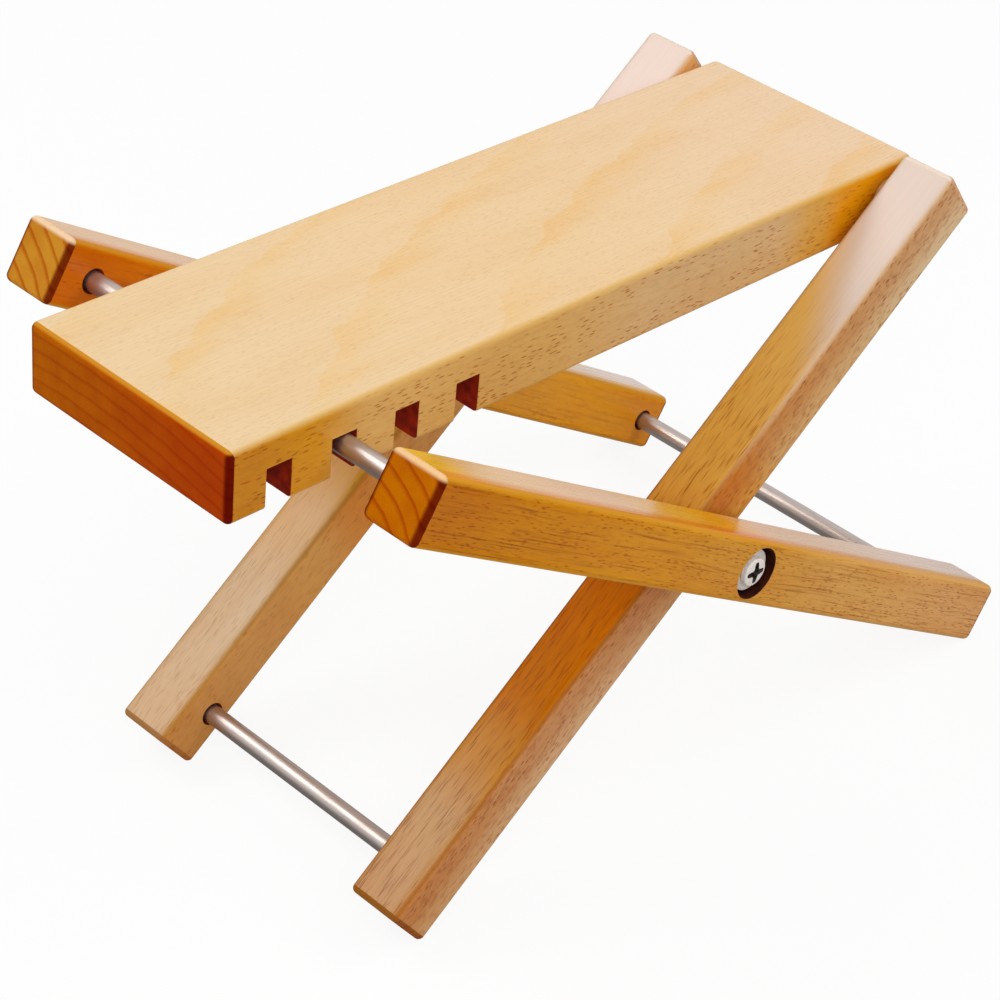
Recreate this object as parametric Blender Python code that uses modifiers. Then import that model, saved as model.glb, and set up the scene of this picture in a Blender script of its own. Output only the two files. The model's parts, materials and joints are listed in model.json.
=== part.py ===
"""Folding wooden guitar footrest, in metres, +Z up.

Two frames of square beech legs cross like scissors on a pair of pivot screws. The footboard hinges on
the inner frame near its top, and one of the notches under its free end drops over the outer frame's
support rod. The notch that takes the rod sets how far the legs spread, and so the height.

Origin: middle of the footprint, on the floor. +X runs along the board to its hinge, +Y to the left.
"""

import math

import bmesh
import bpy
from mathutils import Matrix, Vector

# Gap between two pieces that touch, and how far a cutter runs out past the face it opens
FIT_GAP = 0.0003
OVERCUT = 0.002

# Footboard
BOARD_LENGTH = 0.270
BOARD_WIDTH = 0.080
BOARD_THICKNESS = 0.022
BOARD_EDGE_RADIUS = 0.002
HINGE_FROM_BOARD_END = 0.0109

# Height rack: notches across the board's underside, counted from its free end
NOTCH_COUNT = 4
NOTCH_PITCH = 0.022
FIRST_NOTCH_FROM_END = 0.01715
NOTCH_WIDTH = 0.0085
NOTCH_DEPTH = 0.0125
SEAT_STEPS = 1  # pitches from the first notch to the one that takes the support rod
SEAT_SHIFT = 0.0004  # the rod's place in its notch, off the middle towards the hinge

# Legs: square stock, cut off square at both ends
LEG_DEPTH = 0.020
LEG_WIDTH = 0.019
LEG_EDGE_RADIUS = 0.0018
LEG_SPREAD = math.radians(111.2)  # between the upper halves of the crossed legs
HINGE_REACH = 0.1195  # pivot to hinge, along the inner leg
HINGE_FROM_LEG_TOP = 0.0115
SUPPORT_ROD_FROM_LEG_TOP = 0.0137
INNER_STRETCHER_FROM_FOOT = 0.0163
INNER_STRETCHER_DROP = 0.0028  # below the leg's middle line
OUTER_STRETCHER_FROM_FOOT = 0.0104
FOOT_FOLD_GAP = 0.0008  # inner foot to support rod, with the legs laid out flat
TOP_FOLD_GAP = 0.0041  # inner leg's top to outer stretcher, with the legs laid out flat

# Side gaps that the washers hold open
HINGE_SIDE_GAP = 0.0025
LEG_SIDE_GAP = 0.002
HINGE_WASHER_WALL = 0.0032
LEG_SPACER_WALL = 0.0042
WASHER_CHAMFER = 0.0002

# Rods, glued into blind holes
ROD_DIAMETER = 0.006
ROD_CHAMFER = 0.0006
SOCKET_BACK_WALL = 0.007

# Pivot screws, sunk in the outer legs and turned into inserts in the inner legs
SCREW_DIAMETER = 0.006
SCREW_TIP_CHAMFER = 0.0008
HEAD_DIAMETER = 0.009
HEAD_HEIGHT = 0.0019
HEAD_RIM_HEIGHT = 0.0014
HEAD_SINK = 0.0002  # top of the head below the leg's face
CROSS_SPAN = 0.0066  # across the recess at the top of the head
CROSS_SLOT = 0.0015
CROSS_DEPTH = 0.0022
CROSS_TAPER = 0.4  # bottom of the cross recess, as a share of its mouth
HEAD_WASHER_OVERHANG = 0.0022
HEAD_WASHER_THICKNESS = 0.0012
COUNTERBORE_CLEARANCE = 0.0013
INSERT_WALL = 0.0017
INSERT_BACK_WALL = 0.004
INSERT_CHAMFER = 0.0005
SCREW_TIP_CLEARANCE = 0.0006

# Facets
ROUND_SEGMENTS = 32
EDGE_SEGMENTS = 3
DOME_STEPS = 5

# Where the pieces lie across the stand, outwards from its middle plane
ROD_RADIUS = ROD_DIAMETER / 2
BOARD_SIDE = BOARD_WIDTH / 2
INNER_LEG_NEAR = BOARD_SIDE + HINGE_SIDE_GAP
INNER_LEG_FAR = INNER_LEG_NEAR + LEG_WIDTH
OUTER_LEG_NEAR = INNER_LEG_FAR + LEG_SIDE_GAP
OUTER_LEG_FAR = OUTER_LEG_NEAR + LEG_WIDTH
SOCKET_DEPTH = LEG_WIDTH - SOCKET_BACK_WALL
SOCKET_DIAMETER = ROD_DIAMETER + 2 * FIT_GAP
SCREW_HOLE_DIAMETER = SCREW_DIAMETER + 2 * FIT_GAP

# Seat of the support rod, along and below the hinge in the board's own directions
HINGE_ALONG_BOARD = BOARD_LENGTH - HINGE_FROM_BOARD_END
HINGE_BELOW_TOP = BOARD_THICKNESS / 2
SEAT_ALONG_BOARD = FIRST_NOTCH_FROM_END + NOTCH_PITCH * SEAT_STEPS + SEAT_SHIFT
SEAT_BELOW_TOP = BOARD_THICKNESS - NOTCH_DEPTH + FIT_GAP + ROD_RADIUS
SEAT_BEHIND_HINGE = HINGE_ALONG_BOARD - SEAT_ALONG_BOARD
SEAT_BELOW_HINGE = SEAT_BELOW_TOP - HINGE_BELOW_TOP
HINGE_TO_SEAT = math.hypot(SEAT_BEHIND_HINGE, SEAT_BELOW_HINGE)

# Reaches along the legs from the pivot: the triangle of pivot, hinge and seat gives the support rod's,
# and the frames pass each other's ends when they fold flat
SUPPORT_ROD_REACH = HINGE_REACH * math.cos(LEG_SPREAD) + math.sqrt(
    HINGE_TO_SEAT**2 - (HINGE_REACH * math.sin(LEG_SPREAD)) ** 2
)
INNER_TOP_REACH = HINGE_REACH + HINGE_FROM_LEG_TOP
INNER_FOOT_REACH = SUPPORT_ROD_REACH - ROD_RADIUS - FOOT_FOLD_GAP
INNER_STRETCHER_REACH = INNER_FOOT_REACH - INNER_STRETCHER_FROM_FOOT
OUTER_TOP_REACH = SUPPORT_ROD_REACH + SUPPORT_ROD_FROM_LEG_TOP
OUTER_STRETCHER_REACH = INNER_TOP_REACH + TOP_FOLD_GAP + ROD_RADIUS
OUTER_FOOT_REACH = OUTER_STRETCHER_REACH + OUTER_STRETCHER_FROM_FOOT

# Pivot hardware, outwards from the middle plane
HEAD_TOP = OUTER_LEG_FAR - HEAD_SINK
HEAD_SEAT = HEAD_TOP - HEAD_HEIGHT
HEAD_WASHER_FAR = HEAD_SEAT - FIT_GAP
HEAD_WASHER_NEAR = HEAD_WASHER_FAR - HEAD_WASHER_THICKNESS
HEAD_WASHER_RADIUS = HEAD_DIAMETER / 2 + HEAD_WASHER_OVERHANG
COUNTERBORE_FLOOR = HEAD_WASHER_NEAR - FIT_GAP
COUNTERBORE_DIAMETER = 2 * (HEAD_WASHER_RADIUS + COUNTERBORE_CLEARANCE)
INSERT_HOLE_FLOOR = INNER_LEG_NEAR + INSERT_BACK_WALL
INSERT_NEAR = INSERT_HOLE_FLOOR + FIT_GAP
INSERT_RADIUS = SCREW_HOLE_DIAMETER / 2 + INSERT_WALL
INSERT_HOLE_DIAMETER = 2 * (INSERT_RADIUS + FIT_GAP)
SCREW_TIP = INSERT_HOLE_FLOOR + SCREW_TIP_CLEARANCE

SIDES = {"right": -1, "left": 1}


def clear_scene():
    """Start from an empty scene."""
    for item in list(bpy.data.objects):
        bpy.data.objects.remove(item, do_unlink=True)


def new_collection(name):
    """A collection linked to the scene."""
    collection = bpy.data.collections.new(name)
    bpy.context.scene.collection.children.link(collection)
    return collection


def linear(channel):
    """One sRGB channel, 0 to 255, as a linear value."""
    share = channel / 255
    return share / 12.92 if share <= 0.04045 else ((share + 0.055) / 1.055) ** 2.4


def make_material(name, srgb, roughness, metallic):
    """A Principled material from an sRGB colour."""
    material = bpy.data.materials.new(name)
    material.use_nodes = True
    shader = material.node_tree.nodes["Principled BSDF"]
    shader.inputs["Base Color"].default_value = (*[linear(channel) for channel in srgb], 1.0)
    shader.inputs["Roughness"].default_value = roughness
    shader.inputs["Metallic"].default_value = metallic
    return material


def add_empty(name, parent, location, turn):
    """An empty on a joint's axis, turned about Y."""
    empty = bpy.data.objects.new(name, None)
    PIECES.objects.link(empty)
    empty.empty_display_size = LEG_DEPTH
    empty.parent = parent
    empty.location = location
    empty.rotation_euler = (0.0, turn, 0.0)
    return empty


def add_piece(name, mesh, material, parent):
    """One named piece, with its origin on its parent's axis."""
    piece = bpy.data.objects.new(name, mesh)
    PIECES.objects.link(piece)
    if not mesh.materials:
        mesh.materials.append(material)
    piece.parent = parent
    return piece


def box_mesh(name, low, high):
    """A box between two corners."""
    low, high = Vector(low), Vector(high)
    size = Matrix.Diagonal((*(high - low), 1.0))
    mesh = bpy.data.meshes.new(name)
    shape = bmesh.new()
    bmesh.ops.create_cube(shape, size=1.0, matrix=Matrix.Translation((low + high) / 2) @ size)
    shape.to_mesh(mesh)
    shape.free()
    return mesh


def cylinder_mesh(name, diameter, low_y, high_y, x=0.0, z=0.0):
    """A round bar across the stand, from low_y to high_y."""
    place = Matrix.Translation((x, (low_y + high_y) / 2, z)) @ Matrix.Rotation(math.radians(90), 4, "X")
    mesh = bpy.data.meshes.new(name)
    shape = bmesh.new()
    bmesh.ops.create_cone(
        shape,
        cap_ends=True,
        segments=ROUND_SEGMENTS,
        radius1=diameter / 2,
        radius2=diameter / 2,
        depth=high_y - low_y,
        matrix=place,
    )
    shape.to_mesh(mesh)
    shape.free()
    mesh.shade_smooth()
    mesh.set_sharp_from_angle(angle=math.radians(40))
    return mesh


def profile_mesh(name, points, closed):
    """A profile in the XZ plane, for a Screw modifier: points are radius and height, outer side downwards."""
    count = len(points)
    edges = [(i, (i + 1) % count) for i in range(count if closed else count - 1)]
    mesh = bpy.data.meshes.new(name)
    mesh.from_pydata([(radius, 0.0, height) for radius, height in points], edges, [])
    return mesh


def round_edges(piece, radius, segments=EDGE_SEGMENTS):
    """Round or chamfer every sharp edge."""
    bevel = piece.modifiers.new("rounded_edges", "BEVEL")
    bevel.width = radius
    bevel.segments = segments
    bevel.limit_method = "ANGLE"
    bevel.angle_limit = math.radians(40)


def turn_profile(piece):
    """Spin a profile a full turn about the piece's own Z axis."""
    screw = piece.modifiers.new("turned", "SCREW")
    screw.axis = "Z"
    screw.steps = ROUND_SEGMENTS
    screw.render_steps = ROUND_SEGMENTS
    screw.use_merge_vertices = True
    screw.merge_threshold = 0.00001
    screw.use_smooth_shade = True


def cut(piece, name, mesh):
    """Cut a shape, given in the piece's own space, out of a piece."""
    cutter = bpy.data.objects.new(name, mesh)
    CUTTERS.objects.link(cutter)
    cutter.parent = piece
    cutter.hide_render = True
    cutter.display_type = "WIRE"
    boolean = piece.modifiers.new(name, "BOOLEAN")
    boolean.operation = "DIFFERENCE"
    boolean.solver = "EXACT"
    boolean.object = cutter


def bore(piece, name, diameter, side, near, far, x=0.0, z=0.0):
    """A round hole across a leg, between two distances from the middle plane."""
    low_y, high_y = sorted((side * near, side * far))
    cut(piece, name, cylinder_mesh(name, diameter, low_y, high_y, x, z))


def level_stand():
    """Tilts of the inner frame, the outer frame and the board with both pairs of feet on the floor.

    Each leg stands on the rounded lower corner of its square foot, so the feet are level where
    A sin(t) + C cos(t) is the same for both legs; the two tilts t add up to what the spread leaves.
    """
    opening = math.pi - LEG_SPREAD
    inner = INNER_FOOT_REACH - LEG_EDGE_RADIUS
    outer = OUTER_FOOT_REACH - LEG_EDGE_RADIUS
    half = LEG_DEPTH / 2 - LEG_EDGE_RADIUS
    rise = outer * math.sin(opening) + half * math.cos(opening) - half
    run = inner + outer * math.cos(opening) - half * math.sin(opening)
    inner_tilt = math.atan2(rise, run)
    outer_tilt = opening - inner_tilt

    hinge = Vector((math.cos(inner_tilt), math.sin(inner_tilt))) * HINGE_REACH
    rod = Vector((-math.cos(outer_tilt), math.sin(outer_tilt))) * SUPPORT_ROD_REACH
    seen = math.atan2(rod.y - hinge.y, rod.x - hinge.x)
    drawn = math.atan2(-SEAT_BELOW_HINGE, -SEAT_BEHIND_HINGE)
    board_tilt = (seen - drawn + math.pi) % (2 * math.pi) - math.pi
    return inner_tilt, outer_tilt, board_tilt


def build_footboard(parent):
    """The board, with its hinge bore and the rack of notches; its origin is on the hinge."""
    top = HINGE_BELOW_TOP
    under = top - BOARD_THICKNESS
    free_end = -HINGE_ALONG_BOARD
    mesh = box_mesh(
        "footboard",
        (free_end, -BOARD_SIDE, under),
        (HINGE_FROM_BOARD_END, BOARD_SIDE, top),
    )
    board = add_piece("footboard", mesh, BOARD_BEECH, parent)
    round_edges(board, BOARD_EDGE_RADIUS)
    for count in range(NOTCH_COUNT):
        middle = free_end + FIRST_NOTCH_FROM_END + NOTCH_PITCH * count
        notch = box_mesh(
            f"notch_{count + 1}",
            (middle - NOTCH_WIDTH / 2, -BOARD_SIDE - OVERCUT, under - OVERCUT),
            (middle + NOTCH_WIDTH / 2, BOARD_SIDE + OVERCUT, under + NOTCH_DEPTH),
        )
        cut(board, f"notch_{count + 1}", notch)
    reach = BOARD_SIDE + OVERCUT
    cut(board, "hinge_bore", cylinder_mesh("hinge_bore", SOCKET_DIAMETER, -reach, reach))


def build_inner_leg(name, side, parent):
    """A leg beside the board: blind holes for the two rods inside, one for the insert outside."""
    low_y, high_y = sorted((side * INNER_LEG_NEAR, side * INNER_LEG_FAR))
    half = LEG_DEPTH / 2
    mesh = box_mesh(name, (-INNER_FOOT_REACH, low_y, -half), (INNER_TOP_REACH, high_y, half))
    leg = add_piece(name, mesh, INNER_BEECH, parent)
    round_edges(leg, LEG_EDGE_RADIUS)
    mouth = INNER_LEG_NEAR - OVERCUT
    floor = INNER_LEG_NEAR + SOCKET_DEPTH
    bore(leg, f"{name}_hinge_socket", SOCKET_DIAMETER, side, mouth, floor, HINGE_REACH)
    bore(
        leg,
        f"{name}_stretcher_socket",
        SOCKET_DIAMETER,
        side,
        mouth,
        floor,
        -INNER_STRETCHER_REACH,
        -INNER_STRETCHER_DROP,
    )
    bore(leg, f"{name}_insert_hole", INSERT_HOLE_DIAMETER, side, INSERT_HOLE_FLOOR, INNER_LEG_FAR + OVERCUT)


def build_outer_leg(name, side, parent):
    """An outside leg: blind holes for the two rods, and a counterbored hole for the pivot screw."""
    low_y, high_y = sorted((side * OUTER_LEG_NEAR, side * OUTER_LEG_FAR))
    half = LEG_DEPTH / 2
    mesh = box_mesh(name, (-OUTER_TOP_REACH, low_y, -half), (OUTER_FOOT_REACH, high_y, half))
    leg = add_piece(name, mesh, OUTER_BEECH, parent)
    round_edges(leg, LEG_EDGE_RADIUS)
    mouth = OUTER_LEG_NEAR - OVERCUT
    floor = OUTER_LEG_NEAR + SOCKET_DEPTH
    bore(leg, f"{name}_support_socket", SOCKET_DIAMETER, side, mouth, floor, -SUPPORT_ROD_REACH)
    bore(leg, f"{name}_stretcher_socket", SOCKET_DIAMETER, side, mouth, floor, OUTER_STRETCHER_REACH)
    bore(leg, f"{name}_screw_hole", SCREW_HOLE_DIAMETER, side, mouth, COUNTERBORE_FLOOR + OVERCUT)
    bore(leg, f"{name}_counterbore", COUNTERBORE_DIAMETER, side, COUNTERBORE_FLOOR, OUTER_LEG_FAR + OVERCUT)


def build_rod(name, leg_near, parent, x, z=0.0):
    """A steel rod across the stand, held in blind holes of the legs whose near faces are given."""
    half_length = leg_near + SOCKET_DEPTH - FIT_GAP
    rod = add_piece(name, cylinder_mesh(name, ROD_DIAMETER, -half_length, half_length), STEEL, parent)
    rod.location = (x, 0.0, z)
    round_edges(rod, ROD_CHAMFER, segments=1)


def ring_profile(inner_radius, outer_radius, near, far, chamfer):
    """A flat ring between two heights, with chamfered outer edges."""
    return [
        (inner_radius, far),
        (outer_radius - chamfer, far),
        (outer_radius, far - chamfer),
        (outer_radius, near + chamfer),
        (outer_radius - chamfer, near),
        (inner_radius, near),
    ]


def screw_profile():
    """The pivot screw: a pan head with a low dome on a straight rim, the shank and its chamfered tip."""
    radius = HEAD_DIAMETER / 2
    crown = HEAD_HEIGHT - HEAD_RIM_HEIGHT
    sphere = (radius**2 + crown**2) / (2 * crown)
    edge = math.asin(radius / sphere)
    angles = [edge * step / DOME_STEPS for step in range(DOME_STEPS + 1)]
    dome = [(sphere * math.sin(a), HEAD_TOP - sphere * (1 - math.cos(a))) for a in angles]
    shank = SCREW_DIAMETER / 2
    return dome + [
        (radius, HEAD_SEAT),
        (shank, HEAD_SEAT),
        (shank, SCREW_TIP + SCREW_TIP_CHAMFER),
        (shank - SCREW_TIP_CHAMFER, SCREW_TIP),
        (0.0, SCREW_TIP),
    ]


def cross_slot_mesh(name, turn):
    """One tapered slot of the cross recess: a square cone stretched along its length."""
    mouth = HEAD_TOP + OVERCUT
    depth = CROSS_DEPTH + OVERCUT
    flare = 1 + (1 - CROSS_TAPER) * OVERCUT / CROSS_DEPTH
    corner = math.sqrt(0.5)
    stretch = Matrix.Diagonal((CROSS_SPAN, CROSS_SLOT, 1.0, 1.0))
    square_on = Matrix.Rotation(math.radians(45), 4, "Z")
    place = Matrix.Translation((0.0, 0.0, mouth - depth / 2)) @ Matrix.Rotation(turn, 4, "Z")
    mesh = bpy.data.meshes.new(name)
    shape = bmesh.new()
    bmesh.ops.create_cone(
        shape,
        cap_ends=True,
        segments=4,
        radius1=corner * CROSS_TAPER,
        radius2=corner * flare,
        depth=depth,
        matrix=place @ stretch @ square_on,
    )
    shape.to_mesh(mesh)
    shape.free()
    return mesh


def add_turned(name, points, closed, material, side, parent):
    """A turned piece on the parent's axis, its profile's heights pointing out to one side."""
    piece = add_piece(name, profile_mesh(name, points, closed), material, parent)
    piece.rotation_euler = (math.radians(-90 * side), 0.0, 0.0)
    turn_profile(piece)
    return piece


def build_pivot(word, side, parent):
    """Screw, washer, spacer and insert of one pivot."""
    screw = add_turned(f"pivot_screw_{word}", screw_profile(), False, ZINC, side, parent)
    for slot in range(2):
        name = f"pivot_screw_{word}_slot_{slot + 1}"
        cut(screw, name, cross_slot_mesh(name, math.radians(90 * slot)))
    hole = SCREW_HOLE_DIAMETER / 2
    washer = ring_profile(hole, HEAD_WASHER_RADIUS, HEAD_WASHER_NEAR, HEAD_WASHER_FAR, WASHER_CHAMFER)
    add_turned(f"head_washer_{word}", washer, True, ZINC, side, parent)
    spacer = ring_profile(
        hole,
        hole + LEG_SPACER_WALL,
        INNER_LEG_FAR + FIT_GAP,
        OUTER_LEG_NEAR - FIT_GAP,
        WASHER_CHAMFER,
    )
    add_turned(f"leg_spacer_{word}", spacer, True, NYLON, side, parent)
    insert = ring_profile(hole, INSERT_RADIUS, INSERT_NEAR, INNER_LEG_FAR, INSERT_CHAMFER)
    add_turned(f"threaded_insert_{word}", insert, True, ZINC, side, parent)


def build_hinge_washer(name, side, parent):
    """The washer on the hinge rod that keeps the board off the leg."""
    hole = SOCKET_DIAMETER / 2
    profile = ring_profile(
        hole,
        hole + HINGE_WASHER_WALL,
        BOARD_SIDE + FIT_GAP,
        INNER_LEG_NEAR - FIT_GAP,
        WASHER_CHAMFER,
    )
    washer = add_turned(name, profile, True, NYLON, side, parent)
    washer.location = (HINGE_REACH, 0.0, 0.0)


def stand_on_floor(stand):
    """Put the middle of the footprint at the origin, from the built shapes' own extent."""
    bpy.context.view_layer.update()
    depsgraph = bpy.context.evaluated_depsgraph_get()
    corners = []
    for piece in PIECES.objects:
        if piece.type == "MESH":
            built = piece.evaluated_get(depsgraph)
            corners += [built.matrix_world @ vertex.co for vertex in built.data.vertices]
    low_x = min(corner.x for corner in corners)
    high_x = max(corner.x for corner in corners)
    low_z = min(corner.z for corner in corners)
    stand.location = (-(low_x + high_x) / 2, 0.0, -low_z)
    bpy.context.view_layer.update()


clear_scene()
PIECES = new_collection("guitar_footrest")
CUTTERS = new_collection("cutters")
BOARD_BEECH = make_material("board_beech", (222, 178, 120), 0.35, 0.0)
INNER_BEECH = make_material("inner_leg_beech", (204, 146, 84), 0.38, 0.0)
OUTER_BEECH = make_material("outer_leg_beech", (196, 140, 66), 0.38, 0.0)
STEEL = make_material("bright_steel", (196, 190, 186), 0.25, 1.0)
ZINC = make_material("zinc_plated_steel", (214, 206, 196), 0.35, 1.0)
NYLON = make_material("natural_nylon", (226, 220, 206), 0.5, 0.0)

INNER_TILT, OUTER_TILT, BOARD_TILT = level_stand()
STAND = add_empty("stand", None, (0.0, 0.0, 0.0), 0.0)
INNER_FRAME = add_empty("inner_frame", STAND, (0.0, 0.0, 0.0), -INNER_TILT)
OUTER_FRAME = add_empty("outer_frame", STAND, (0.0, 0.0, 0.0), OUTER_TILT)
BOARD_HINGE = add_empty("board_hinge", INNER_FRAME, (HINGE_REACH, 0.0, 0.0), INNER_TILT - BOARD_TILT)

build_footboard(BOARD_HINGE)
build_rod("hinge_rod", INNER_LEG_NEAR, INNER_FRAME, HINGE_REACH)
build_rod("inner_stretcher_rod", INNER_LEG_NEAR, INNER_FRAME, -INNER_STRETCHER_REACH, -INNER_STRETCHER_DROP)
build_rod("support_rod", OUTER_LEG_NEAR, OUTER_FRAME, -SUPPORT_ROD_REACH)
build_rod("outer_stretcher_rod", OUTER_LEG_NEAR, OUTER_FRAME, OUTER_STRETCHER_REACH)
for WORD, SIDE in SIDES.items():
    build_inner_leg(f"inner_leg_{WORD}", SIDE, INNER_FRAME)
    build_outer_leg(f"outer_leg_{WORD}", SIDE, OUTER_FRAME)
    build_pivot(WORD, SIDE, INNER_FRAME)
    build_hinge_washer(f"hinge_washer_{WORD}", SIDE, INNER_FRAME)
stand_on_floor(STAND)
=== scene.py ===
# %% [markdown]
# # A folding guitar footrest
# A beech board lies on a scissor stand of four square beech legs. Steel rods tie the legs together, and
# one rod sits in a notch under the board, which sets the height. The imported CAD model fixes the size and
# place of every piece. This lesson rebuilds each piece as a fine surface in that same frame, gives it its
# real finish, and lights it like the photograph. Loading the frame comes first, and its box is kept.

# %% Load the frame
import json
import math
from types import SimpleNamespace

import bpy
import numpy as np
from mathutils import Matrix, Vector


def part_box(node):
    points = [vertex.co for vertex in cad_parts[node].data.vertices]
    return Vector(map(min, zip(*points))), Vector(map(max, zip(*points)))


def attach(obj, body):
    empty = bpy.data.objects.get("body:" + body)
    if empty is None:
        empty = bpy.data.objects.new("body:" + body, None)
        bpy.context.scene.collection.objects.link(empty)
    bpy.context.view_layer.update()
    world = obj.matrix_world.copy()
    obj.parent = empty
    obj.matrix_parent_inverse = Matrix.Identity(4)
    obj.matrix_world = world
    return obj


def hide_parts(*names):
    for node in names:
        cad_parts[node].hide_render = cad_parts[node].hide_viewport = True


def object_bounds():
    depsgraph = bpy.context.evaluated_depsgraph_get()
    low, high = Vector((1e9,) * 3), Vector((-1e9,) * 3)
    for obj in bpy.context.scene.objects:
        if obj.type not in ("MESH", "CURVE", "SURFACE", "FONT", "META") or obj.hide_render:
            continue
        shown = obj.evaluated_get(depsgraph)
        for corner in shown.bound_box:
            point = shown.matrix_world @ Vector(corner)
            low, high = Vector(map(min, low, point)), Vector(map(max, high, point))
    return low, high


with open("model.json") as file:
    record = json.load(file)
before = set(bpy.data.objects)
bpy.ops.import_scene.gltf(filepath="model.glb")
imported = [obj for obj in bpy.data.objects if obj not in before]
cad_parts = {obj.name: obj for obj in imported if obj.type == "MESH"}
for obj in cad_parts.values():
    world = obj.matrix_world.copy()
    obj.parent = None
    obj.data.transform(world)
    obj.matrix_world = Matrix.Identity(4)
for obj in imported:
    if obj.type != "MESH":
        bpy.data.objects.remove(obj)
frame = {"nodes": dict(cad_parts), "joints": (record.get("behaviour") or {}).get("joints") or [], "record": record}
cad_box = [list(corner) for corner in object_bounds()]
print("CAD box in metres:", cad_box)

# %% [markdown]
# ## Where the grain runs
# Each stick of beech is sawn along the grain, so its own three directions matter more than the room's:
# along the grain, across the stand, and up out of its front face. The joints and the rods say where these
# directions lie: inner legs point from the scissor pivot to the board's hinge, outer legs from the
# support rod to the rod at their feet, and the board's face is square to its mount. They could be typed
# in as angles, but measuring them keeps this file right when the CAD model changes.

# %% Measure the sticks
MM = 0.001
ACROSS = np.array([0.0, 1.0, 0.0])


def unit(vector):
    """A vector divided by its own length."""
    return vector / np.linalg.norm(vector)


def node_points(node):
    """All corners of one CAD node as rows of x, y and z in metres."""
    mesh = frame["nodes"][node].data
    flat = np.empty(3 * len(mesh.vertices), np.float32)
    mesh.vertices.foreach_get("co", flat)
    return flat.reshape(-1, 3).astype(float)


def node_middle(node):
    """The middle of a CAD node's box."""
    low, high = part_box(node)
    return np.array((low + high) / 2)


def stick(node, along):
    """Middle, half sizes and directions of a stick: a node's corners are measured along three axes, the
    grain, across the stand, and their cross product, which points up out of the front face."""
    axes = np.stack([along, ACROSS, np.cross(along, ACROSS)])
    local = node_points(node) @ axes.T
    low = local.min(axis=0)
    high = local.max(axis=0)
    tilt = math.atan2(-along[2], along[0])
    return SimpleNamespace(
        node=node, axes=axes, half=(high - low) / 2, middle=(low + high) / 2 @ axes, tilt=tilt
    )


joint_place = {joint["name"]: np.array(joint["pos_m"]) for joint in frame["joints"]}
tread_up = unit(np.array(frame["record"]["mounts"][0]["axis"]))
inner_grain = unit(joint_place["board_hinge"] - joint_place["leg_pivot"])
outer_grain = unit(node_middle("outer_stretcher_rod") - node_middle("support_rod"))
board_grain = np.cross(ACROSS, tread_up)

board = stick("footboard", board_grain)
inner_right = stick("inner_leg_right", inner_grain)
inner_left = stick("inner_leg_left", inner_grain)
outer_right = stick("outer_leg_right", outer_grain)
outer_left = stick("outer_leg_left", outer_grain)
for item in (board, inner_right, inner_left, outer_right, outer_left):
    print(item.node, "mm:", np.round(2 * item.half / MM, 2), "tilt:", round(math.degrees(item.tilt), 2))

# %% [markdown]
# ## From a grid of points to a mesh
# Every piece below is a grid: rows along one parameter, columns around the other. A few small helpers
# turn such a grid into quads and into a Blender object. Smooth shading with sharp edges above 30 degrees
# keeps flat faces flat, and lets roundings look round. A wooden piece has three kinds of face, each with
# a material slot: long grain, end grain, and cut wood.

# %% Grid and mesh helpers
SHARP_ANGLE = math.radians(30)
KIND_FACE = 0
KIND_END = 1
KIND_CUT = 2
BORED_SLOTS = 3


def grid_quads(rows, columns, ring=False):
    """Quads between neighbouring rows and columns. Columns close into a loop, and rows do too for a
    ring."""
    spans = rows if ring else rows - 1
    row, column = np.meshgrid(np.arange(spans), np.arange(columns), indexing="ij")
    after = (column + 1) % columns
    below = (row + 1) % rows
    upper = [row * columns + column, row * columns + after]
    lower = [below * columns + after, below * columns + column]
    return np.stack(upper + lower, axis=-1).reshape(-1, 4)


def capped(rows, columns):
    """The quads of an open grid, with one flat face over the first row and one over the last."""
    first = np.arange(columns)[::-1]
    last = np.arange(columns) + (rows - 1) * columns
    return grid_quads(rows, columns).tolist() + [first.tolist(), last.tolist()]


def put(name, points, faces, kinds=None, slots=1):
    """Put points and faces into a mesh object. Kinds gives each face its material slot."""
    mesh = bpy.data.meshes.new(name)
    mesh.from_pydata(points, [], faces)
    for _ in range(slots):
        mesh.materials.append(None)
    if kinds is not None:
        mesh.polygons.foreach_set("material_index", np.asarray(kinds, np.int32))
    mesh.shade_smooth()
    mesh.set_sharp_from_angle(angle=SHARP_ANGLE)
    piece = bpy.data.objects.new(name, mesh)
    bpy.context.scene.collection.objects.link(piece)
    return piece


print("A grid of 3 rows and 4 columns has", len(grid_quads(3, 4)), "quads")

# %% [markdown]
# ## Rounded rims
# The maker ran a small round-over along every edge. In the grid, a rim is a few rows that follow a
# quarter circle: each row moves outward by the sine, and draws in by one minus the cosine. One extra row
# just before and after the curve holds the flat faces flat. A Bevel modifier could do this too, but rows
# of our own let the end grain start exactly at the rim.

# %% Rim rows
RIM_STEPS = 6
HOLD = 0.2 * MM


def rim_rows(half, radius):
    """Rows of a stick from one rim to the other: place along it, and how far the outline draws in. Place
    is half minus radius plus radius times sine, and the inset is radius times one minus cosine."""
    angle = np.linspace(0, math.pi / 2, RIM_STEPS + 1)
    place = np.concatenate([[half - radius - HOLD], half - radius + radius * np.sin(angle), [half]])
    inset = np.concatenate([[0.0], radius * (1 - np.cos(angle)), [radius + HOLD]])
    return np.concatenate([-place[::-1], place]), np.concatenate([inset[::-1], inset])


print("Rows from rim to rim:", len(rim_rows(0.1, 0.002)[0]))

# %% [markdown]
# ## The footboard's outline
# The board is one plank with its edges eased all round. Four notches are sawn across its underside near
# the free end, and each can drop over the support rod. It could be a box with cutters, but a plank with
# straight notches has the same outline at every slice across it. So the side view is drawn once as an
# outline, and carried across the board. Each outline point also knows which way it moves where the rim
# draws in, and which way where a notch opens.

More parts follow.
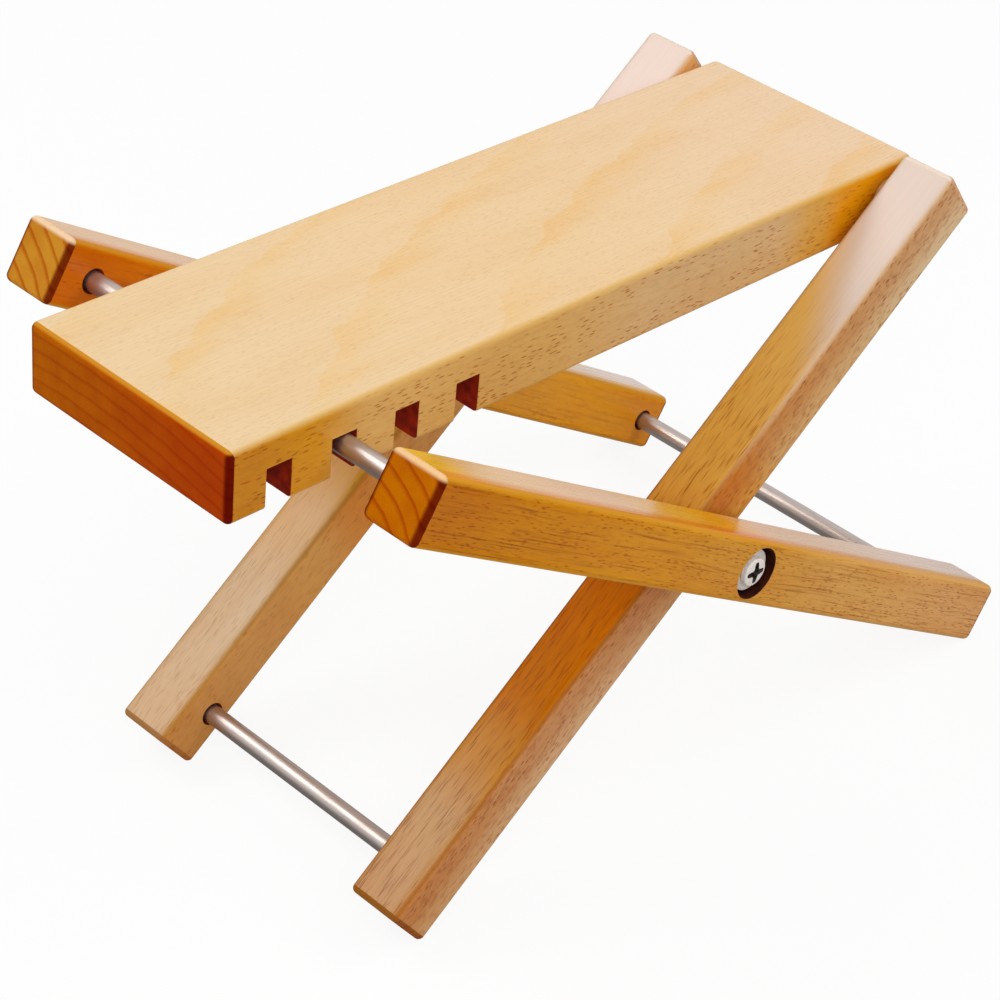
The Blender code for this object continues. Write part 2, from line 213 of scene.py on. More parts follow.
# %% The board's outline in side view
BOARD_CORNER = 2.1 * MM
NOTCH_EASE = 0.3 * MM

board_points = (node_points("footboard") - board.middle) @ board.axes.T
off_the_faces = np.abs(board_points[:, 2]) < 0.5 * board.half[2]
ceilings = board_points[(board_points[:, 0] < 0) & off_the_faces]
notch_walls = np.unique(np.round(ceilings[:, 0], 5)).reshape(-1, 2)
notch_ceiling = ceilings[:, 2].mean()


def corner_arc(side_x, side_z, start):
    """A quarter circle of the outline, clockwise from a start angle in degrees, with a holding point at
    each end. Columns: x, z, the outward direction in x and z, the notch direction in x and z, and sawn or
    not."""
    angle = np.radians(start - np.linspace(0, 90, RIM_STEPS + 1))
    angle = np.concatenate([angle[:1], angle, angle[-1:]])
    slip = np.zeros_like(angle)
    slip[0] = -HOLD
    slip[-1] = HOLD
    out_x = np.cos(angle)
    out_z = np.sin(angle)
    x = side_x * (board.half[0] - BOARD_CORNER) + BOARD_CORNER * out_x + slip * out_z
    z = side_z * (board.half[2] - BOARD_CORNER) + BOARD_CORNER * out_z - slip * out_x
    none = np.zeros_like(angle)
    return np.stack([x, z, out_x, out_z, none, none, none], axis=-1)


def notch_outline(left, right):
    """Six points of one notch from its right lip to its left lip, in the same columns as the corner
    arcs."""
    low = -board.half[2]
    ease = NOTCH_EASE
    return np.array([
        [right + ease, low, 0, -1, 1, 0, 0],
        [right, low + ease, 0, -1, 1, 0, 1],
        [right, notch_ceiling, 0, 0, 1, 1, 1],
        [left, notch_ceiling, 0, 0, -1, 1, 1],
        [left, low + ease, 0, -1, -1, 0, 0],
        [left - ease, low, 0, -1, -1, 0, 0],
    ])


notches = [notch_outline(left, right) for left, right in notch_walls[::-1]]
outline = np.concatenate(
    [corner_arc(-1, 1, 180), corner_arc(1, 1, 90), corner_arc(1, -1, 0), *notches, corner_arc(-1, -1, -90)]
)
print("Board outline points:", len(outline), "notch walls in mm:", np.round(notch_walls / MM, 2).tolist())

# %% [markdown]
# ## The footboard's surface
# The outline is carried across the board from rim to rim. Near both sides it draws in for the rim, and
# the notches open by a fraction of a millimetre, as sawn edges do after sanding. The faces at the plank's
# ends show end grain and the notch walls show bare sawn wood, so they get material slots of their own.

# %% Carry the outline across the board
BOARD_RIM = 1.8 * MM
SIDE_EASE = 0.25 * MM
END_LEAN = 0.1

across, inset = rim_rows(board.half[1], BOARD_RIM)
opening = np.maximum(0, np.abs(across) - (board.half[1] - SIDE_EASE))
opening[[0, -1]] += HOLD
x = outline[:, 0] - inset[:, None] * outline[:, 2] + opening[:, None] * outline[:, 4]
z = outline[:, 1] - inset[:, None] * outline[:, 3] + opening[:, None] * outline[:, 5]
y = np.broadcast_to(across[:, None], x.shape)
board_surface = board.middle + np.stack([x, y, z], axis=-1).reshape(-1, 3) @ board.axes

leans = np.abs(outline[:, 2]) > END_LEAN
at_end = leans & np.roll(leans, -1)
sawn = outline[:, 6] > 0
inner_rows = np.abs(across[:-1] + across[1:]) / 2 < board.half[1] - SIDE_EASE
kinds = np.where(at_end, KIND_END, KIND_FACE) + np.where(sawn & inner_rows[:, None], KIND_CUT, 0)
kinds = np.append(kinds.ravel(), [KIND_FACE, KIND_FACE])
board_faces = capped(len(across), len(outline))
footboard = put("beech_footboard", board_surface, board_faces, kinds, BORED_SLOTS)
print("Footboard faces:", len(footboard.data.polygons))

# %% [markdown]
# ## The legs
# A leg is a square stick with rounded long edges and rounded ends. Its cross section is four quarter
# circles joined by straight sides, carried along the grain, and drawn in at both ends by the rim rows.
# The rim and the cut ends show end grain, so they go into the second material slot.

# %% Shape the legs
LEG_EDGE = 2.1 * MM
LEG_RIM = 1.8 * MM
LONG_GRAIN_SPANS = 1.5


def square_outline(half_across, half_up):
    """The leg's cross section, anticlockwise seen from its upper end: at each corner a quarter circle
    with a holding point before and after it. Returns places and outward directions, across and up."""
    corners = np.arange(4)[:, None] * 90
    angle = np.radians(corners + np.linspace(0, 90, RIM_STEPS + 1))
    angle = np.concatenate([angle[:, :1], angle, angle[:, -1:]], axis=1)
    slip = np.zeros_like(angle)
    slip[:, 0] = -HOLD
    slip[:, -1] = HOLD
    out = np.stack([np.cos(angle), np.sin(angle)], axis=-1)
    onward = np.stack([-np.sin(angle), np.cos(angle)], axis=-1)
    middle = np.radians(corners + 45)
    side = np.stack([np.sign(np.cos(middle)), np.sign(np.sin(middle))], axis=-1)
    corner = side * (half_across - LEG_EDGE, half_up - LEG_EDGE)
    place = corner + LEG_EDGE * out + slip[..., None] * onward
    return place.reshape(-1, 2), out.reshape(-1, 2)


def leg_surface(leg):
    """The cross section carried along the grain. At each row it draws in along its outward directions."""
    place, out = square_outline(leg.half[1], leg.half[2])
    along, inset = rim_rows(leg.half[0], LEG_RIM)
    section = place - inset[:, None, None] * out
    lengthwise = np.broadcast_to(along[:, None, None], section.shape[:2] + (1,))
    local = np.concatenate([lengthwise, section], axis=-1)
    return leg.middle + local.reshape(-1, 3) @ leg.axes, len(along), len(place)


def shape_leg(name, leg):
    """A leg's mesh, with end grain on both rims and on both cut ends. Long grain is the middle span of
    rows and the holding row on each side of it."""
    points, rows, columns = leg_surface(leg)
    from_middle = np.abs(np.arange(rows - 1) - (rows - 2) / 2)
    kinds = np.repeat(np.where(from_middle > LONG_GRAIN_SPANS, KIND_END, KIND_FACE), columns)
    return put(name, points, capped(rows, columns), np.append(kinds, [KIND_END, KIND_END]), BORED_SLOTS)


leg_right_inner = shape_leg("beech_inner_leg_right", inner_right)
leg_left_inner = shape_leg("beech_inner_leg_left", inner_left)
leg_right_outer = shape_leg("beech_outer_leg_right", outer_right)
leg_left_outer = shape_leg("beech_outer_leg_left", outer_left)
print("Faces of a leg before boring:", len(leg_right_inner.data.polygons))

# %% [markdown]
# ## Turned shapes
# Rods, washers, inserts, screws and the drills that bore the wood are all round about a line across the
# stand. A lathe makes them: a profile of radius against height, turned about that line. Heights are
# measured outward from the stand's middle plane, so the same profile serves the right and the left side.

# %% A lathe
AROUND = 64
EASE_POINTS = 6
EASE_HOLD = 1.4
SIDES = {"right": -1, "left": 1}


def turned(profile, centre, side=1, ring=False):
    """A profile turned about a line across the stand. A point is the centre plus radius times cosine
    along x and minus radius times sine along z. A ring's profile closes on itself, and any other gets
    flat caps."""
    profile = np.asarray(profile, float)
    if side < 0:
        profile = profile[::-1] * (1, -1)
    turn = np.linspace(0, 2 * math.pi, AROUND, endpoint=False)
    radius = profile[:, :1]
    x = centre[0] + radius * np.cos(turn)
    z = centre[2] - radius * np.sin(turn)
    y = np.broadcast_to(profile[:, 1:], x.shape)
    points = np.stack([x, y, z], axis=-1).reshape(-1, 3)
    rows = len(profile)
    return points, grid_quads(rows, AROUND, True).tolist() if ring else capped(rows, AROUND)


def eased(profile, ease, ring=False):
    """Round a profile's corners: each becomes a curve whose weights are those of a quadratic Bezier, from
    one ease before the corner to one ease after it, with a holding point further out on each side."""
    profile = np.asarray(profile, float)
    before = np.roll(profile, 1, axis=0) - profile
    after = np.roll(profile, -1, axis=0) - profile
    before = before / np.linalg.norm(before, axis=1, keepdims=True) * ease
    after = after / np.linalg.norm(after, axis=1, keepdims=True) * ease
    share = np.linspace(0, 1, EASE_POINTS)[:, None]
    curve = before[:, None] * (1 - share) ** 2 + after[:, None] * share ** 2
    hold = np.stack([EASE_HOLD * before, EASE_HOLD * after], axis=1)
    offsets = np.concatenate([hold[:, :1], curve, hold[:, 1:]], axis=1)
    points = profile[:, None] + offsets
    if ring:
        return points.reshape(-1, 2)
    return np.concatenate([profile[:1], points[1:-1].reshape(-1, 2), profile[-1:]])


print("A square profile eased to", len(eased([[1, 0], [1, 1], [0, 1], [0, 0]], 0.1, True)), "points")

# %% [markdown]
# ## Boring the wood
# The rods sit in blind holes on the legs' inner faces. The drill leaves a small dark chamfer at each
# mouth. The outer legs have a stepped hole: a clearance hole for the screw, and a wide flat pocket that
# sinks the screw head. The board has one hole through it near its hinge end. A drilled hole has no simple
# grid on a square leg, so this is the place for a Boolean: the drill's turned shape is taken away from
# the wood, and the result is kept as the piece's mesh.

# %% Sizes of turned nodes
def size_of(node):
    """Smallest and largest radius of a turned node about its own line, and its least and greatest
    distance from the stand's middle plane."""
    points = node_points(node)
    centre = node_middle(node)
    radius = np.hypot(points[:, 0] - centre[0], points[:, 2] - centre[2])
    away = np.abs(points[:, 1])
    return SimpleNamespace(
        centre=centre, inner=radius.min(), outer=radius.max(), near=away.min(), far=away.max()
    )


ROD_NODES = ("hinge_rod", "inner_stretcher_rod", "support_rod", "outer_stretcher_rod")
rods = {name: size_of(name) for name in ROD_NODES}
print({name: round(2 * rod.outer / MM, 2) for name, rod in rods.items()}, "mm rods")

# %% Drill shapes
FIT = 0.3 * MM
OVERRUN = 1.0 * MM
MOUTH = 0.6 * MM
POCKET_MOUTH = 0.35 * MM
POCKET_ROOM = 1.3 * MM


def leg_faces(leg):
    """Distances of a leg's inner and outer face from the stand's middle plane."""
    middle = np.abs(leg.middle[1])
    return middle - leg.half[1], middle + leg.half[1]


def socket(rod, leg, side):
    """A blind hole for a rod on a leg's inner face: a mouth that narrows by its chamfer, then a straight
    bore."""
    radius = rod.outer + FIT
    face, _ = leg_faces(leg)
    mouth = [radius + MOUTH + OVERRUN, face - OVERRUN]
    return turned([mouth, [radius, face + MOUTH], [radius, rod.far + FIT]], rod.centre, side)


def insert_hole(insert, leg, side):
    """A blind hole on a leg's outer face, for the threaded insert."""
    radius = insert.outer + FIT
    _, face = leg_faces(leg)
    mouth = [radius + POCKET_MOUTH + OVERRUN, face + OVERRUN]
    return turned([[radius, insert.near - FIT], [radius, face - POCKET_MOUTH], mouth], insert.centre, side)


def screw_hole(washer, leg, side):
    """A stepped hole through an outer leg: a clearance bore, then the wide pocket of the screw head."""
    clearance = washer.inner
    pocket = washer.outer + POCKET_ROOM
    inner_face, outer_face = leg_faces(leg)
    floor = washer.near - FIT
    profile = [
        [clearance + POCKET_MOUTH + OVERRUN, inner_face - OVERRUN],
        [clearance, inner_face + POCKET_MOUTH],
        [clearance, floor],
        [pocket, floor],
        [pocket, outer_face - POCKET_MOUTH],
        [pocket + POCKET_MOUTH + OVERRUN, outer_face + OVERRUN],
    ]
    return turned(profile, washer.centre, side)


def hinge_hole(rod):
    """A hole through the board with a small chamfer at both mouths."""
    radius = rod.outer + FIT
    half = board.half[1]
    wide = radius + POCKET_MOUTH + OVERRUN
    bore_line = [[radius, POCKET_MOUTH - half], [radius, half - POCKET_MOUTH]]
    return turned([[wide, -half - OVERRUN], *bore_line, [wide, half + OVERRUN]], rod.centre)


print("Board's hinge hole has", len(hinge_hole(rods["hinge_rod"])[0]), "points")

# %% Bore the holes
def bore(piece, drills):
    """Take drills, each with its points and faces, away from a piece. The cut faces get the third
    slot."""
    starts = np.cumsum([0] + [len(points) for points, _ in drills])
    points = np.concatenate([points for points, _ in drills])
    faces = [
        [start + index for index in face]
        for start, (_, drill) in zip(starts, drills)
        for face in drill
    ]
    tool = put("drill", points, faces, np.full(len(faces), KIND_CUT), BORED_SLOTS)
    boolean = piece.modifiers.new("bore", "BOOLEAN")
    boolean.object = tool
    boolean.operation = "DIFFERENCE"
    boolean.solver = "EXACT"
    boolean.material_mode = "INDEX"
    bored = bpy.data.meshes.new_from_object(piece.evaluated_get(bpy.context.evaluated_depsgraph_get()))
    piece.modifiers.remove(boolean)
    piece.data = bored
    bored.set_sharp_from_angle(angle=SHARP_ANGLE)
    bpy.data.objects.remove(tool)


for end, inner, outer, inner_leg, outer_leg in (
    ("right", leg_right_inner, leg_right_outer, inner_right, outer_right),
    ("left", leg_left_inner, leg_left_outer, inner_left, outer_left),
):
    side = SIDES[end]
    bore(inner, [
        socket(rods["hinge_rod"], inner_leg, side),
        socket(rods["inner_stretcher_rod"], inner_leg, side),
        insert_hole(size_of("threaded_insert_" + end), inner_leg, side),
    ])
    bore(outer, [
        socket(rods["support_rod"], outer_leg, side),
        socket(rods["outer_stretcher_rod"], outer_leg, side),
        screw_hole(size_of("head_washer_" + end), outer_leg, side),
    ])
    print("Bored", end, "legs:", len(inner.data.polygons), "and", len(outer.data.polygons), "faces")
bore(footboard, [hinge_hole(rods["hinge_rod"])])

# %% [markdown]
# ## Steel rods
# The rods are plain drawn bars with a small chamfer at each end, so a turned profile with eased corners
# is all that they need. Their ends are hidden in the blind holes.

# %% Turn the rods
ROD_CHAMFER = 0.6 * MM
ROD_EASE = 0.15 * MM


def turn_rod(name, rod):
    """A bar from end to end: the radius less the chamfer, the full radius, and back again."""
    tip = rod.outer - ROD_CHAMFER
    shoulder = rod.far - ROD_CHAMFER
    profile = [[tip, -rod.far], [rod.outer, -shoulder], [rod.outer, shoulder], [tip, rod.far]]
    return put(name, *turned(eased(profile, ROD_EASE), rod.centre))


steel_rods = {name: turn_rod("steel_" + name, rod) for name, rod in rods.items()}
print("Turned", len(steel_rods), "rods")

# %% [markdown]
# ## Washers, spacers and inserts
# A washer is a ring: four corners of a small rectangle, eased and turned about its middle line. The
# screw's washer and the inserts are zinc-plated steel. The rings that keep the wooden pieces apart are
# nylon.

# %% Turn the rings
RING_EASE = {
    "head_washer": 0.2 * MM,
    "leg_spacer": 0.2 * MM,
    "hinge_washer": 0.25 * MM,
    "threaded_insert": 0.3 * MM,
}


def turn_ring(name, node, side, ease):
    """A ring with the node's own radii and height: its rectangle runs up the outside and down the
    bore."""
    ring = size_of(node)
    outside = [[ring.outer, ring.near], [ring.outer, ring.far]]
    inside = [[ring.inner, ring.far], [ring.inner, ring.near]]
    return put(name, *turned(eased(outside + inside, ease, True), ring.centre, side, ring=True))


rings = {}
for kind, ease in RING_EASE.items():
    for end, side in SIDES.items():
        node = kind + "_" + end
        rings[node] = turn_ring("turned_" + node, node, side, ease)
print("Turned", len(rings), "rings")

# %% [markdown]
# ## The pivot screws
# Each scissor joint turns on one pan-head screw. The head is a short drum with a rounded rim and a
# slightly domed top, and a cross recess for the screwdriver. The drum and shank are turned. The recess is
# a star of two tapering bars blended together, narrowing with depth, and is taken away from the head.

# %% The screw's profile
HEAD_RIM = 0.5 * MM
HEAD_DOME = 0.3 * MM
HEAD_HEIGHT = 1.9 * MM
SHANK_CHAMFER = 0.6 * MM
RIM_POINTS = 9
DOME_POINTS = 12
DOME_TIP = 0.02


def screw_profile(screw, shank):
    """From the tip: chamfer, shank, underside of the head, a quarter circle of rim, and a parabola for
    the dome, which falls by its height times the square of the share of the radius."""
    under_head = screw.far - HEAD_HEIGHT
    start = [[shank - SHANK_CHAMFER, screw.near], [shank, screw.near + SHANK_CHAMFER], [shank, under_head]]
    angle = np.linspace(0, math.pi / 2, RIM_POINTS)
    flat = screw.outer - HEAD_RIM
    rim_height = screw.far - HEAD_DOME - HEAD_RIM * (1 - np.sin(angle))
    rim = np.stack([flat + HEAD_RIM * np.cos(angle), rim_height], axis=-1)
    share = np.linspace(1, DOME_TIP, DOME_POINTS)[1:]
    dome = np.stack([flat * share, screw.far - HEAD_DOME * share ** 2], axis=-1)
    return np.concatenate([start, [[screw.outer, under_head]], rim, dome])


print("Screw heads are", HEAD_HEIGHT / MM, "mm high")

# %% The cross recess
CROSS_REACH = 3.75 * MM
CROSS_HALF_SLOT = 0.92 * MM
CROSS_DEPTH = 2.2 * MM
CROSS_TURN = math.radians(8)
CROSS_POINTS = 96
BAR_POWER = 4
BLEND_POWER = 3
CROSS_SCALE = (0.4, 0.72, 1.0, 1.25)


def cross_recess(screw, side):
    """A cross in polar form. A bar is a superellipse of the bar power, and at each angle the two bars'
    radii are blended by a sum of powers. The cross is scaled down from above the head's top to the
    recess's floor."""
    turn = np.linspace(0, 2 * math.pi, CROSS_POINTS, endpoint=False)
    ways = np.abs(np.cos(turn)), np.abs(np.sin(turn))
    bars = [
        (
            (long_way / CROSS_REACH) ** BAR_POWER + (cross_way / CROSS_HALF_SLOT) ** BAR_POWER
        ) ** (-1 / BAR_POWER)
        for long_way, cross_way in (ways, ways[::-1])
    ]
    radius = (bars[0] ** BLEND_POWER + bars[1] ** BLEND_POWER) ** (1 / BLEND_POWER)
    height = screw.far + np.array([-CROSS_DEPTH, -0.5 * CROSS_DEPTH, 0.0, OVERRUN])
    scale = np.array(CROSS_SCALE)
    if side < 0:
        height = -height[::-1]
        scale = scale[::-1]
    reach = scale[:, None] * radius
    x = screw.centre[0] + reach * np.cos(turn - side * CROSS_TURN)
    z = screw.centre[2] - reach * np.sin(turn - side * CROSS_TURN)
    y = np.broadcast_to(height[:, None], x.shape)
    return np.stack([x, y, z], axis=-1).reshape(-1, 3), capped(len(height), len(turn))


screws = {}
for end, side in SIDES.items():
    screw = size_of("pivot_screw_" + end)
    shank = size_of("threaded_insert_" + end).inner - FIT
    points, faces = turned(screw_profile(screw, shank), screw.centre, side)
    screws[end] = put("zinc_pivot_screw_" + end, points, faces, slots=BORED_SLOTS)
    bore(screws[end], [cross_recess(screw, side)])
    print("Screw", end, "head across in mm:", round(2 * screw.outer / MM, 2))

# %% [markdown]
# ## Colours and nodes
# A few helpers serve every finish. One turns a colour as a painter writes it, in hexadecimal sRGB, into
# the linear numbers that the renderer mixes. One adds a shader node with its settings and its links. The
# colour sockets of a Mix node have no names of their own, so they are called by their numbers.

# %% Material helpers
FACTOR, COLOUR_A, COLOUR_B = 0, 6, 7
BLEND = dict(data_type="RGBA")
TINT = dict(data_type="RGBA", blend_type="MULTIPLY")
SMOOTH = dict(interpolation_type="SMOOTHSTEP")
FALLING = {"To Min": 1.0, "To Max": 0.0}
PATCHES = {"From Min": 0.35, "From Max": 0.7}
GLOSS_NOISE = {"From Min": 0.3, "From Max": 0.7}


def linear(hex_colour):
    """An sRGB hex colour as linear red, green, blue and alpha, by the sRGB curve."""
    value = np.array([int(hex_colour[start:start + 2], 16) / 255 for start in (1, 3, 5)])
    level = np.where(value <= 0.04045, value / 12.92, ((value + 0.055) / 1.055) ** 2.4)
    return (*level.tolist(), 1.0)


def wire(tree, node, inputs):
    """Fill a node's inputs, by name or number, with values or links. A node stands for its first live
    output."""
    for name, value in inputs.items():
        if isinstance(value, bpy.types.Node):
            value = next(output for output in value.outputs if output.enabled)
        if isinstance(value, bpy.types.NodeSocket):
            tree.links.new(value, node.inputs[name])
        else:
            node.inputs[name].default_value = value


def add(tree, kind, inputs, **settings):
    """Add one shader node of a kind: its settings first, then its inputs."""
    node = tree.nodes.new("ShaderNode" + kind)
    for name, value in settings.items():
        setattr(node, name, value)
    wire(tree, node, inputs)
    return node


def new_material(name):
    """A material with its node tree and its one shader."""
    material = bpy.data.materials.new(name)
    material.use_nodes = True
    return material, material.node_tree, material.node_tree.nodes["Principled BSDF"]


print("Beech in linear light:", np.round(linear("#D9B184")[:3], 3))

# %% [markdown]
# ## Where a point lies on its stick
# Every beech finish is drawn in the stick's own millimetres. The Mapping node moves the pattern to the
# stick's middle, turns it with the grain and scales it. How far a point lies past the side faces and past
# the front face then tells the front from the sides, and finds the rounded edges and the bands beside
# them.

# %% Places and faces of a stick
FACE_BLUR = 0.6
MIDDLE_BLUR = 1.0
EDGE_BAND = (-1.8, -0.6)
EDGE_SHARE = 0.75
DULL_BAND = (-4.5, -0.6)


def stick_place(tree, wood):
    """Millimetres from a stick's middle, as one vector and as its parts along, across and up."""
    place = add(tree, "TexCoord", {})
    local = add(tree, "Mapping", {
        "Vector": place.outputs["Object"], "Location": wood.middle.tolist(),
        "Rotation": (0, wood.tilt, 0), "Scale": (MM, MM, MM),
    }, vector_type="TEXTURE")
    return local, add(tree, "SeparateXYZ", {"Vector": local}).outputs


def face_share(tree, wood, parts):
    """Three masks. The first is 0 on the front and 1 on a side, by which face the point lies further
    past. The others read how deep a point lies under the nearer of both faces: one rises to the edge
    share inside a rounded edge, and one rises to 1 over the wider dull band beside it."""
    half = wood.half / MM
    far_across = add(tree, "Math", {0: parts["Y"]}, operation="ABSOLUTE")
    far_up = add(tree, "Math", {0: parts["Z"]}, operation="ABSOLUTE")
    past_side = add(tree, "Math", {0: far_across, 1: half[1]}, operation="SUBTRACT")
    past_front = add(tree, "Math", {0: far_up, 1: half[2]}, operation="SUBTRACT")
    lead = add(tree, "Math", {0: past_side, 1: past_front}, operation="SUBTRACT")
    depth = add(tree, "Math", {0: past_side, 1: past_front}, operation="MINIMUM")
    on_side = add(tree, "MapRange", {"Value": lead, "From Min": -FACE_BLUR, "From Max": FACE_BLUR}, **SMOOTH)
    on_edge, by_edge = [
        add(tree, "MapRange", {"Value": depth, "From Min": low, "From Max": high, "To Max": most}, **SMOOTH)
        for (low, high), most in ((EDGE_BAND, EDGE_SHARE), (DULL_BAND, 1.0))
    ]
    return on_side, on_edge, by_edge


print("A stick's directions are along, across and up, in millimetres")

# %% [markdown]
# ## Ground tones
# Lacquered beech is never one colour. Each face drifts from pale to gold along the stick, and in places a
# strip beside one edge is paler or deeper than the rest. The drift is partly the wood's own tone and partly
# painted light: pale painted highlights and reflections where a face catches the light, and deep painted
# shade where other pieces crowd it. A ramp of a few tones by millimetres along the grain draws the drift,
# and one more mix draws the strip.

# %% Ground tone of one face
SLANT_REACH = 0.4


def with_strip(tree, parts, colour, axis, full, none, tone):
    """A colour multiplied by a tone, in full at the first of two places along an axis and not at the
    second."""
    strip = add(tree, "MapRange", {
        "Value": parts[axis], "From Min": full, "From Max": none, **FALLING,
    }, **SMOOTH)
    return add(tree, "Mix", {FACTOR: strip, COLOUR_A: colour, COLOUR_B: linear(tone)}, **TINT)


def ground_tone(tree, wood, parts, look):
    """The tone of one face. Its ramp is read at the place along the grain plus a slant times the place
    across, and the slant grows from nothing at the stick's middle to the look's value towards its
    finish."""
    reach = wood.half[0] / MM
    slant = add(tree, "MapRange", {
        "Value": parts["X"], "From Min": 0.0, "From Max": SLANT_REACH * reach,
        "To Max": look.get("slant", 0.0),
    }, **SMOOTH)
    station = add(tree, "Math", {0: parts["Y"], 1: slant, 2: parts["X"]}, operation="MULTIPLY_ADD")
    share = add(tree, "MapRange", {"Value": station, "From Min": -reach, "From Max": reach})
    colour = add(tree, "ValToRGB", {"Fac": share})
    ramp = colour.color_ramp
    ramp.interpolation = "EASE"
    for _ in look["tones"][2:]:
        ramp.elements.new(0.5)
    for element, (where, tone) in zip(ramp.elements, look["tones"]):
        element.position = (where + reach) / (2 * reach)
        element.color = linear(tone)
    return with_strip(tree, parts, colour, *look["strip"]) if "strip" in look else colour


print("A face's look holds its tones, slant, strip, marks, flecks, fade and figure")

# %% [markdown]
# ## Ray flecks
# The mark of beech is its rays: short dark dashes along the grain, crowded in some bands and rare in
# others. Cells of a Voronoi pattern, stretched along the grain, have cores of just that shape. A share of
# the cells is kept by the random number of each cell plus a slow noise, which crowds the dashes into
# bands.

# %% Flecks
FLECK_CORE = (0.15, 0.38)
CROWDING = 2.0
FLECK_FADE = 0.2


def ray_flecks(tree, grain, crowd, length, width, share):
    """A mask of dashes for cells of the given length and width in millimetres. It falls from 1 to 0
    between two distances from a cell's middle. A cell counts where crowding times the noise plus its own
    number passes crowding less the share."""
    shrink = (1 / length, 1 / width, 1 / width)
    squeezed = add(tree, "VectorMath", {0: grain, 1: shrink}, operation="MULTIPLY")
    cells = add(tree, "TexVoronoi", {"Vector": squeezed, "Scale": 1.0})
    core = add(tree, "MapRange", {
        "Value": cells.outputs["Distance"], "From Min": FLECK_CORE[0], "From Max": FLECK_CORE[1], **FALLING,
    }, **SMOOTH)
    drawn = add(tree, "Math", {0: crowd, 1: CROWDING, 2: cells.outputs["Color"]}, operation="MULTIPLY_ADD")
    level = CROWDING - share
    kept = add(tree, "MapRange", {"Value": drawn, "From Min": level, "From Max": level + FLECK_FADE})
    return add(tree, "Math", {0: core, 1: kept}, operation="MULTIPLY")


print("Flecks are the cores of stretched cells, up to", FLECK_CORE[1], "of a cell from its middle")

# %% [markdown]
# ## The grain and its marks
# Under the flecks lie softer marks: clouds a hand's width long, mottle, long streaks and fine fibres.
# Noise that is squeezed across the grain and stretched along it gives each of them, at its own size in
# millimetres. The grain itself wanders a little, so all marks are drawn in a place that slow noise has
# bent.

# %% Wandering grain and its noise
SEED_STEP = (137.0, 41.0, 59.0)
WANDER_SIZE = (90, 26, 26)
WANDER_REACH = 4.0
MARK_SIZE = {
    "cloud": (70, 14, 14),
    "crowd": (40, 5, 5),
    "mottle": (3.2, 1.3, 1.3),
    "streak": (32, 0.55, 0.55),
    "fibre": (9, 0.4, 0.4),
}


def stick_surface(name, wood, seed):
    """A new material with all that its finish reads: places, masks, the place shifted by the seed, and
    that place bent across and up by the reach times slow noise less a half, with one noise on it for each
    mark."""
    material, tree, shader = new_material(name)
    local, parts = stick_place(tree, wood)
    on_side, on_edge, by_edge = face_share(tree, wood, parts)
    shifted = add(tree, "VectorMath", {0: local, 1: [seed * step for step in SEED_STEP]}, operation="ADD")
    slow = add(tree, "VectorMath", {0: shifted, 1: [1 / size for size in WANDER_SIZE]}, operation="MULTIPLY")
    drift = add(tree, "TexNoise", {"Vector": slow, "Scale": 1.0, "Detail": 1.0})
    centred = add(tree, "VectorMath", {0: drift.outputs["Color"], 1: (0.5, 0.5, 0.5)}, operation="SUBTRACT")
    bend = (0.0, WANDER_REACH, WANDER_REACH)
    grain = add(tree, "VectorMath", {0: centred, 1: bend, 2: shifted}, operation="MULTIPLY_ADD")
    noise = {}
    for mark, sizes in MARK_SIZE.items():
        squeezed = add(tree, "VectorMath", {0: grain, 1: [1 / size for size in sizes]}, operation="MULTIPLY")
        noise[mark] = add(tree, "TexNoise", {"Vector": squeezed, "Scale": 1.0, "Detail": 3.0})
    return SimpleNamespace(
        material=material, tree=tree, shader=shader, wood=wood, reach=wood.half[0] / MM,
        local=local, parts=parts, on_side=on_side, on_edge=on_edge, by_edge=by_edge,
        shifted=shifted, grain=grain, noise=noise,
    )


print("Marks of long grain:", list(MARK_SIZE))

# %% [markdown]
# ## Marks on the ground tone
# Each mark multiplies the ground by a tint of its own where its noise lies above a level, and flecks do
# the same with a darker tint. On the inner legs both run out where the painted highlight turns the wood
# pale, so a look may give two places along the stick between which they fade.

# %% Draw the marks and the flecks
MARK_TINT = (
    ("cloud", 0.45, 0.62, "#F8E4C4"),
    ("mottle", 0.5, 0.62, "#C89078"),
    ("streak", 0.54, 0.74, "#B08440"),
    ("fibre", 0.45, 0.75, "#D8C09C"),
)


def lasting_share(surface, look):
    """1 up to the first of the look's two fading places along the stick, and 0 from the second on."""
    full, none = look.get("fade", (surface.reach, surface.reach + 1))
    return add(surface.tree, "MapRange", {
        "Value": surface.parts["X"], "From Min": full, "From Max": none, **FALLING,
    })


def face_flecks(surface, looks, lasting):
    """Flecks of the front plus flecks of the sides, each on its own faces only, times how dark they
    are."""
    tree = surface.tree
    shown = []
    for look, share, (front, side) in zip(looks, lasting, ((1.0, 0.0), (0.0, 1.0))):
        length, width, kept, dark = look["fleck"]
        flecks = ray_flecks(tree, surface.grain, surface.noise["crowd"], length, width, kept)
        on_face = add(tree, "MapRange", {
            "Value": surface.on_side, "To Min": dark * front, "To Max": dark * side,
        })
        placed = add(tree, "Math", {0: share, 1: on_face}, operation="MULTIPLY")
        shown.append(add(tree, "Math", {0: flecks, 1: placed}, operation="MULTIPLY"))
    return add(tree, "Math", {0: shown[0], 1: shown[1]}, operation="ADD")


